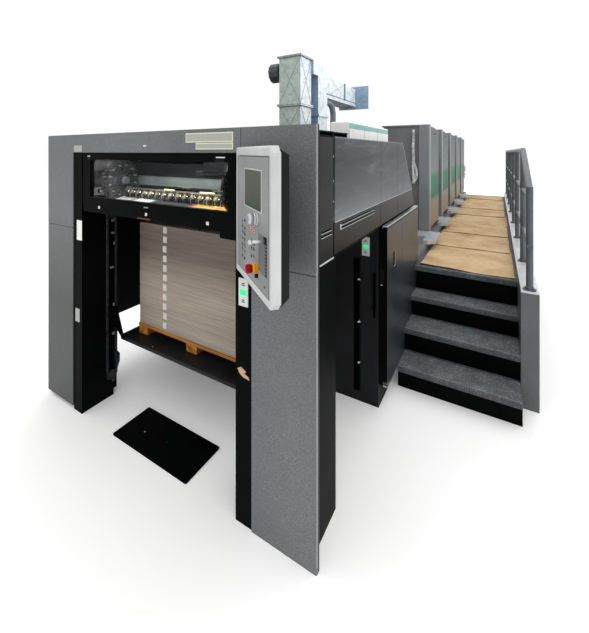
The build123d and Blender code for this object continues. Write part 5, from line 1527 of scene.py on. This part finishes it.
class PRESS_OT_chains(bpy.types.Operator):
    """Roller chains of the pile hoist and of the grippers, and chain guides whose pale finish stands for
    painted glints
    """

    bl_idname = "press.chains"
    bl_label = "Chains"

    def execute(self, context):
        pitch = context.scene.press_sizes.link_pitch
        paths = self.paths()
        for index, (name, path) in enumerate(paths):
            stands_for = ("chain_loops",) if index == 0 else ()
            along_path(name, path, True, self.link(pitch / MM), pitch, "oiled", stands_for)
        self.guides()
        return {"FINISHED"}

    def paths(self):
        """Names and closed paths of the four hoist chains and the two gripper chains."""
        hoist_x, front, rear, low, high, hoist_radius = 560, 175, 1165, 200, 1270, 32.5
        paths = []
        for side in (-1, 1):
            for y in (front, rear):
                path = self.loop(side * hoist_x, (y, low), (y, high), hoist_radius)
                paths.append((f"hoist_chain_{len(paths) + 1}", path))
        gripper_x, gripper_radius, gripper_reach = 500, 141.5, 148.5
        far = press_box("chain_loops")[1].y - gripper_reach
        for number, side in enumerate((-1, 1), 1):
            path = self.loop(side * gripper_x, (WHEEL_Y, WHEEL_Z), (far, WHEEL_Z), gripper_radius)
            paths.append((f"gripper_chain_{number}", path))
        return paths

    def link(self, reach):
        """One outer and one inner pair of plates with the roller on its pin."""
        link = item_shape()
        outer, outer_half, inner, inner_half = 6.2, 1.2, 4, 1
        for side in (-1, 1):
            low = (side * outer - outer_half, -5.5, -reach * 0.62)
            link.block(low, (side * outer + outer_half, 5.5, reach * 0.62), "oiled", 1)
            low = (side * inner - inner_half, -4.8, -reach * 0.3)
            link.block(low, (side * inner + inner_half, 4.8, reach * 0.9), "oiled", 1)
        pin, roller = 7.6, 3.6
        link.bar((-pin, 0, 0), (pin, 0, 0), 3.2, "steel", 10)
        link.bar((-roller, 0, 0), (roller, 0, 0), 5.6, "steel", 12)
        return link

    def guides(self):
        """Small pale guide blocks with a screw each on the inner walls of the pile bay, beside the hoist
        chains, that stand in as painted glints.
        """
        guides = Shape()
        wall, thickness, screw = 626, 12, 6
        places = (
            (226, 1214, 26), (222, 1130, 12), (240, 1052, 20), (214, 890, 14), (236, 622, 22), (230, 424, 16)
        )
        for side in (-1, 1):
            face = side * (wall - thickness)
            start, end = sorted((side * wall, face))
            for y, z, height in places:
                # Pale blocks and screws that stand in as painted glints beside the hoist chains
                guides.block((start, y - 10, z), (end, y + 14, z + height), "edge_dull", 2)
                guides.bar((face, y, z + 6), (face - side * screw, y, z + 6), 4, "steel", 8)
        guides.piece("chain_guides", "dark_steel")

    def loop(self, x, first, last, radius):
        """Closed path round two wheels, in the plane across the press at x."""
        start, end = Vector(first), Vector(last)
        along = (end - start).normalized()
        turn = math.atan2(along.y, along.x)
        path = []
        steps = 14
        for centre, base in ((end, turn - math.pi / 2), (start, turn + math.pi / 2)):
            for index in range(steps + 1):
                angle = base + math.pi * index / steps
                path.append((x, centre.x + radius * math.cos(angle), centre.y + radius * math.sin(angle)))
        return path


class PRESS_OT_units(bpy.types.Operator):
    """Rollers, ink ducts, lids and drive-side fittings of the printing units"""

    bl_idname = "press.units"
    bl_label = "Printing units"

    # Half the width between the towers, and the face of the unit doors
    inner = 462
    door_face = 1000

    def execute(self, context):
        for number, (low, high) in enumerate(UNIT_BOXES, 1):
            unit = Shape()
            self.inking(unit, low, high)
            self.tower_tops(unit, low, high)
            self.inspection_lids(unit, low)
            unit.piece(f"unit_{number}_details", "unit_dark")
        self.drive_side()
        self.steps()
        return {"FINISHED"}

    def inking(self, unit, low, high):
        """Roller train between the towers, with the ink duct's blade and its row of ink keys."""
        start, depth, inner = low.y, high.y - low.y, self.inner
        journal = 478
        for share, height, radius, finish in (
            (0.16, 1640, 42, "rubber"), (0.3, 1722, 50, "steel"), (0.44, 1768, 44, "rubber"),
            (0.58, 1752, 52, "steel"), (0.72, 1700, 40, "rubber"), (0.45, 1868, 46, "chrome"),
        ):
            y = start + share * depth
            unit.bar((-inner, y, height), (inner, y, height), radius, finish, 28)
            unit.bar((-journal, y, height), (journal, y, height), 16, "oiled", 14)
        duct = start + 0.45 * depth
        blade = ((duct + 50, 1850), (duct + 150, 1960), (duct + 160, 1950), (duct + 62, 1842))
        unit.prism([(-inner, y, z) for y, z in blade], (2 * inner, 0, 0), "bright")
        unit.block((-inner, duct + 140, 1880), (inner, duct + 165, 1905), "unit", 3)
        key_count, key_pitch, key_width = 24, 38.5, 14
        for index in range(key_count):
            x = -inner + 20 + index * key_pitch
            unit.block((x, duct + 165, 1882), (x + key_width, duct + 180, 1902), "black", 2)

    def tower_tops(self, unit, low, high):
        """Lids with a dark grip on both towers, and grip rims on their doors."""
        start, end, top = low.y, high.y, high.z
        lid, grip = 3, 9
        pull_y, pull = start + 0.58 * (end - start), 66
        for side in (-1, 1):
            near, far = sorted((side * 500, side * 880))
            unit.block((near + 12, start + 40, top), (far - 8, end - 30, top + lid), "column", 1.2)
            unit.block((near + 90, start + 120, top + lid), (far - 90, start + 150, top + grip), "frame", 2)
            a, b = sorted((side * self.door_face, side * (self.door_face + 3)))
            unit.block((a, pull_y - pull, 1900), (b, pull_y + pull, 1906), "bright", 1)
            unit.block((a, pull_y - pull, 1936), (b, pull_y + pull, 1939), "edge_line", 0.8)

    def inspection_lids(self, unit, low):
        """Three flat lids with a knob on the wall between the towers."""
        wall, half, proud = low.y + 16, 130, 3
        for x in (-300, 0, 300):
            unit.block((x - half, wall - proud, 1120), (x + half, wall, 1480), "column", 2)
            unit.bar((x + 100, wall - proud, 1300), (x + 100, wall - 16, 1300), 9, "black", 14)

    def drive_side(self):
        """Air pipe, vent panels, handles and motor covers on the drive side, inside the bed's overhang."""
        fittings = Shape()
        first, last = UNIT_BOXES[0][0].y + 40, UNIT_BOXES[-1][1].y - 40
        side = -self.door_face
        fittings.bar((side - 22, first, 1010), (side - 22, last, 1010), 13, "bright", 16)
        fittings.bar((side - 20, first, 960), (side - 20, last, 960), 9, "black", 12)
        slat_count, slat_pitch, slat_height = 9, 22, 8
        motor = ((2, 16, 60, "column", 28), (16, 24, 18, "steel", 20))
        for low, high in UNIT_BOXES:
            middle = (low.y + high.y) / 2
            fittings.block((side - 36, middle - 150, 1080), (side, middle + 150, 1330), "cover", 8)
            for index in range(slat_count):
                z = 1110 + index * slat_pitch
                slat_end = (side - 35, middle + 110, z + slat_height)
                fittings.block((side - 38, middle - 110, z), slat_end, "black", 1)
            fittings.bar((side - 22, middle + 200, 960), (side - 22, middle + 200, 1400), 10, "bright", 14)
            for z in (1420, 1560):
                fittings.block((side - 10, middle - 240, z), (side, middle - 214, z + 90), "frame", 3)
            fittings.turned((side, middle + 60, 1650), (-1, 0, 0), motor)
        fittings.piece("drive_side_fittings", "unit_dark")

    def steps(self):
        """Raised bars on the step plates, in staggered rows that lean both ways."""
        plate = press_box("foot_plates")[1]
        stud = item_shape()
        stud.block((-11, -2, -1.2), (11, 2, 1.2), "chequer", 0.6)
        points = []
        pitch, margin, inner = 26, 14, 1016
        plate_length, cut_length, cut_width = 480, 420, 60
        for low, _ in UNIT_BOXES:
            end = low.y - margin
            y = end - plate_length
            row = 0
            while y < end - margin:
                x = inner + (row % 2) * pitch / 2
                edge = plate.x - 12
                if y < end - cut_length:
                    edge -= cut_width
                while x < edge:
                    points.append((x, y, plate.z + 0.2))
                    x += pitch
                y += pitch / 2
                row += 1
        on_points("step_studs", points, stud, (0, 0, 1), 3.1, 3, "chequer")


class PRESS_OT_gallery(bpy.types.Operator):
    """Ribbed treads, loose cardboard and the rail's feet"""

    bl_idname = "press.gallery"
    bl_label = "Gallery"

    def execute(self, context):
        self.ribs()
        self.cardboard(random.Random(context.scene.press_sizes.seed))
        self.rail()
        return {"FINISHED"}

    def ribs(self):
        """Fine ribs across the treads and the front of the deck, with their nosings."""
        low, high = press_box("stair_treads")
        edge, pitch = 6, 0.0085
        inner, outer = low.x + edge, high.x - edge
        middle = (inner + outer) / 2
        half = (outer - inner) / 2
        # Front and top of each tread and how far its ribs run
        treads = (
            (low.y, 160.3, 230), (low.y + 234, 335.3, 256), (low.y + 494, 499.8, 186),
            (DECK_LOW.y, DECK_HIGH.z, 84),
        )
        nosing = Shape()
        left, right = low.x + 2, high.x - 2
        for number, (front, top, run) in enumerate(treads, 1):
            rib = item_shape()
            rib.block((-half, -1.1, -1.6), (half, 1.1, 1.6), "tread", 0.5)
            path = [(middle, front + 12, top + 0.4), (middle, front + run, top + 0.4)]
            along_path(f"tread_ribs_{number}", path, False, rib, pitch, "tread_rib")
            nosing.block((left, front - 0.6, top - 36), (right, front + 2, top - 10), "nosing", 0.5)
            nosing.block((left, front + 3, top - 0.4), (right, front + 9, top + 1.2), "edge_dull", 0.5)
        nosing.piece("tread_nosings", "tread_grey")

    def cardboard(self, dice):
        """Sheets of kraft board that overlap and lift a little at their edges."""
        low, high = press_box("deck_boards")
        sheets = Shape()
        count, thickness = 8, 3.4
        length = (high.y - low.y) / (count - 0.6)
        for index in range(count):
            start = low.y + index * length * 0.93
            end = min(start + length, high.y)
            if index == 0:
                start = DECK_LOW.y + 30
            inner = low.x + dice.uniform(0, 16)
            outer = high.x - dice.uniform(0, 26)
            twist = dice.uniform(-9, 9)
            rows = self.sheet_points(index, (inner, outer), (start, end), low.z, twist)
            for lower, upper in zip(rows, rows[1:]):
                sheets.strip(lower, upper, "card")
            # Dark strips under three edges: cut edge, darkened as painted shadow below each lifting sheet
            for edge in (rows[0], [line[-1] for line in rows], rows[-1]):
                sheets.strip([(x, y, z - thickness) for x, y, z in edge], edge, "card_edge", False)
        sheets.piece("cardboard_sheets", "cardboard", PRESS, ("deck_boards",))

    def sheet_points(self, index, width, length, floor, twist):
        """Rows of points of one sheet; the first sheet's left front corner stands up."""
        (inner, outer), (start, end) = width, length
        level = floor + 0.6 + 2.2 * (index % 3)
        across, lengthways = 10, 14
        rows = []
        for row in range(lengthways + 1):
            share = row / lengthways
            y = start + share * (end - start)
            line = []
            for column in range(across + 1):
                part = column / across
                x = inner + part * (outer - inner)
                lift = 5 * max(0, 1 - share * 9) + 4 * max(0, part * 9 - 8)
                lift += 1.6 * math.sin(x * 0.017 + y * 0.011 + index)
                if index == 0:
                    lift += 16 * max(0, 1 - share * 5) * max(0, 1 - part * 1.6)
                shift = twist * (part - 0.5)
                line.append((x, max(DECK_LOW.y + 14, y + shift), level + 1 + max(0, lift)))
            rows.append(line)
        return rows

    def rail(self):
        """Flanges with bolts at the feet of the posts, and clamps on the middle rails."""
        low, high = press_box("handrail")
        x = (low.x + high.x) / 2
        tube, second_post, even_count = 21, 761, 6
        first, second, last = low.y + tube, low.y + second_post, high.y - tube
        posts = [first] + [second + index * (last - second) / even_count for index in range(even_count + 1)]
        feet = Shape()
        flange, lower_rail, upper_rail, clamp = 8, 290, 610, 24
        foot = ((0, flange, 38, "rail", 24), (flange, 22, 27, "rail", 24, 23))
        for y in posts:
            feet.turned((x, y, low.z), (0, 0, 1), foot)
            for height in (lower_rail,) if y == first else (lower_rail, upper_rail):
                z = low.z + height
                feet.bar((x, y - clamp, z), (x, y + clamp, z), 18, "rail", 18)
        feet.piece("rail_feet", "rail_grey")
        circle = 27
        ways = ((circle, 0), (-circle, 0), (0, circle), (0, -circle))
        bolts = [(x + a, y + b, low.z + flange) for y in posts for a, b in ways]
        head = item_shape()
        head.bar((0, 0, 0), (0, 0, 4), 5, "steel", 6)
        on_points("rail_bolts", bolts, head, (0, 0, 1), 3.0, 5, "steel")


class PRESS_OT_feeder(bpy.types.Operator):
    """Suction head, feed tapes, pile and controls of the feeder"""

    bl_idname = "press.feeder"
    bl_label = "Feeder"

    def execute(self, context):
        low, high = press_box("feeder_pile")
        dice = random.Random(context.scene.press_sizes.seed)
        step, uneven = 9.0, 2.4
        pile = bundled_sheets(dice, low, high, step, uneven, "blank_paper")
        pile.piece("feeder_sheets", "paper", PRESS, ("feeder_pile",))
        self.head()
        self.table()
        self.walls()
        return {"FINISHED"}

    def head(self):
        """Suckers, air pipes and the bars that hold them."""
        low, high = press_box("feeder_head")
        parts = Shape()
        middle = (low.y + high.y) / 2
        sucker = ((-70, 0, 9, "steel", 14), (-92, -70, 22, "rubber", 18, 11))
        for x in (-330, -110, 110, 330):
            for y in (middle - 90, middle + 60):
                parts.turned((x, y, low.z), (0, 0, 1), sucker)
            parts.block((x - 46, middle - 150, low.z - 26), (x + 46, middle + 120, low.z), "bright", 5)
        for y in (middle - 120, middle + 120):
            parts.bar((low.x, y, high.z + 8), (high.x, y, high.z + 8), 12, "steel", 16)
        for x in (-520, -180, 180, 520):
            parts.block((x - 50, low.y + 40, high.z - 2), (x + 50, high.y - 40, high.z + 14), "unit", 4)
        parts.piece("suction_head", "column_grey")

    def table(self):
        """Tapes, their rollers and the brush wheels above the sloping table."""
        low, high = press_box("feed_table")
        slope, tape_half, proud = 40, 28, 0.5
        rise = (high.z - slope - low.z) / (high.y - low.y)
        start_y, start_z = low.y + 30, low.z + slope + proud + rise * 30
        end_y, end_z = high.y - 20, high.z + proud - rise * 20
        tapes = (-560, -280, 0, 280, 560)
        parts = Shape()
        for x in tapes:
            left, right = x - tape_half, x + tape_half
            outline = (
                (left, start_y, start_z), (right, start_y, start_z),
                (right, end_y, end_z), (left, end_y, end_z),
            )
            parts.prism(outline, (0, 0, 2.5), "rubber")
        for share in (0.3, 0.62):
            y = low.y + share * (high.y - low.y)
            z = low.z + slope + rise * (y - low.y) + 46
            shaft, wheel = z + 30, z - 12
            parts.bar((low.x + 4, y, shaft), (high.x - 4, y, shaft), 11, "steel", 16)
            for x in tapes:
                parts.bar((x - 12, y, wheel), (x + 12, y, wheel), 30, "black", 22)
                parts.block((x - 6, y - 6, wheel), (x + 6, y + 6, shaft), "steel", 1)
        parts.piece("feed_tapes", "steel")

    def walls(self):
        """Control box, hand wheel, seams and handles of the feeder's side frames."""
        side, start, end = FEEDER_HIGH.x, FEEDER_LOW.y, FEEDER_HIGH.y
        parts = Shape()
        proud, handle = 3, 14
        for sign in (-1, 1):
            a, b = sorted((sign * side, sign * (side + proud)))
            for y in (start + 640, start + 1290):
                parts.block((a, y, 120), (b, y + 4, 1150), "seam")
            parts.block((a, start + 30, 116), (b, end - 30, 120), "seam")
            for y in (start + 700, start + 1350):
                parts.block((a, y, 640), (b + (handle if sign > 0 else 0), y + 20, 780), "frame", 3)
        face = side + 60
        parts.block((side, start + 1500, 980), (face, start + 1760, 1330), "console", 10)
        parts.block((face, start + 1540, 1170), (face + 3, start + 1720, 1290), "black", 1)
        for index, finish in enumerate(("green_key", "black", "red", "black")):
            y = start + 1560 + index * 46
            parts.bar((face, y, 1080), (face + 10, y, 1080), 14, finish, 18)
        hand_wheel = (
            (0, 40, 22, "steel", 20), (40, 58, 120, "column", 32), (58, 60, 96, "unit", 32)
        )
        parts.turned((-side, start + 1500, 760), (-1, 0, 0), hand_wheel)
        parts.block((-740, end - 110, 1150), (740, end - 20, 1210), "unit", 8)
        parts.piece("feeder_fittings", "unit_dark")


class PRESS_OT_stage(bpy.types.Operator):
    """Floor, soft lights and the camera at the photograph's place"""

    bl_idname = "press.stage"
    bl_label = "Stage"

    def execute(self, context):
        self.floor(context.scene)
        self.lights(context.scene)
        self.camera(context.scene)
        return {"FINISHED"}

    def floor(self, scene):
        """Pale painted floor with faint clouds, lit a little by itself."""
        low, high = CAD_BOX
        mesh = bpy.data.meshes.new("floor")
        reach = 3.0 * (high.y - low.y)
        corners = [(-reach, -reach, 0), (reach, -reach, 0), (reach, reach, 0), (-reach, reach, 0)]
        mesh.from_pydata(corners, [], [(0, 1, 2, 3)])
        ground = bpy.data.objects.new("floor", mesh)
        scene.collection.objects.link(ground)
        material, add, shader, place = start_material("pale_floor")
        cloud_mm = 900
        grain = noise(add, place, cloud_mm, Detail=5.0)
        tone = ramp(add, (grain, "Fac"), ((0.35, "#FCFCFB"), (0.65, WHITE)))
        set_inputs(
            shader, {"Base Color": tone},
            Roughness=0.55, Emission_Color=linear(WHITE), Emission_Strength=0.12,
        )
        mesh.materials.append(material)

    def lights(self, scene):
        """White studio round the press, with one broad light above and three weak ones at its sides."""
        world = bpy.data.worlds.new("studio")
        world.use_nodes = True
        set_inputs(world.node_tree.nodes["Background"], {}, Color=linear(WHITE), Strength=1.0)
        scene.world = world
        scene.view_settings.view_transform = "Standard"
        # Name, place and aim in millimetres of the press, size in metres and power in watts
        for name, place, aim, size, power in (
            ("top_light", (400, 4200, 7500), (400, 4200, 0), 13.0, 380),
            ("key_light", (2600, -2600, 4600), (0, 700, 900), 3.2, 22),
            ("drive_light", (-4200, 5000, 4200), (0, 5000, 900), 4.5, 40),
            ("rear_light", (1500, 13500, 4200), (0, 9500, 900), 4.0, 40),
        ):
            lamp = bpy.data.lights.new(name, "AREA")
            lamp.size = size
            lamp.energy = power
            light = bpy.data.objects.new(name, lamp)
            light.location = at(*place)
            light.rotation_euler = (at(*aim) - at(*place)).to_track_quat("-Z", "Y").to_euler()
            scene.collection.objects.link(light)

    def camera(self, scene):
        """Level camera with a shifted lens, as found from the photograph's vanishing points."""
        eye, heading = (1650, -1318, 1700), 32.23
        camera = bpy.data.cameras.new("camera")
        camera.lens = 20.47
        camera.shift_x = 0.0387
        camera.shift_y = -0.26
        camera.clip_start = 0.01
        view = bpy.data.objects.new("camera", camera)
        view.location = at(*eye)
        view.rotation_euler = (math.radians(90), 0, math.radians(heading))
        scene.collection.objects.link(view)
        scene.camera = view


class PRESS_PT_panel(bpy.types.Panel):
    """Sidebar list of the press's building steps"""

    bl_label = "Offset Press"
    bl_idname = "PRESS_PT_panel"
    bl_space_type = "VIEW_3D"
    bl_region_type = "UI"
    bl_category = "Press"

    def draw(self, context):
        for step in STEPS:
            self.layout.operator(step.bl_idname)


STEPS = (
    PRESS_OT_finishes, PRESS_OT_pile, PRESS_OT_window, PRESS_OT_front, PRESS_OT_console, PRESS_OT_side,
    PRESS_OT_roof, PRESS_OT_chains, PRESS_OT_units, PRESS_OT_gallery, PRESS_OT_feeder, PRESS_OT_stage,
)
CLASSES = (PressSizes, PressColours) + STEPS + (PRESS_PT_panel,)


def register():
    for item in CLASSES:
        bpy.utils.register_class(item)
    bpy.types.Scene.press_sizes = bpy.props.PointerProperty(type=PressSizes)
    bpy.types.Scene.press_colours = bpy.props.PointerProperty(type=PressColours)


def unregister():
    del bpy.types.Scene.press_colours
    del bpy.types.Scene.press_sizes
    for item in reversed(CLASSES):
        bpy.utils.unregister_class(item)


def run_step(step):
    """Call one operator by its name."""
    group, name = step.bl_idname.split(".")
    getattr(getattr(bpy.ops, group), name)()


def main():
    register()
    for step in STEPS:
        run_step(step)


if __name__ == "__main__":
    main()
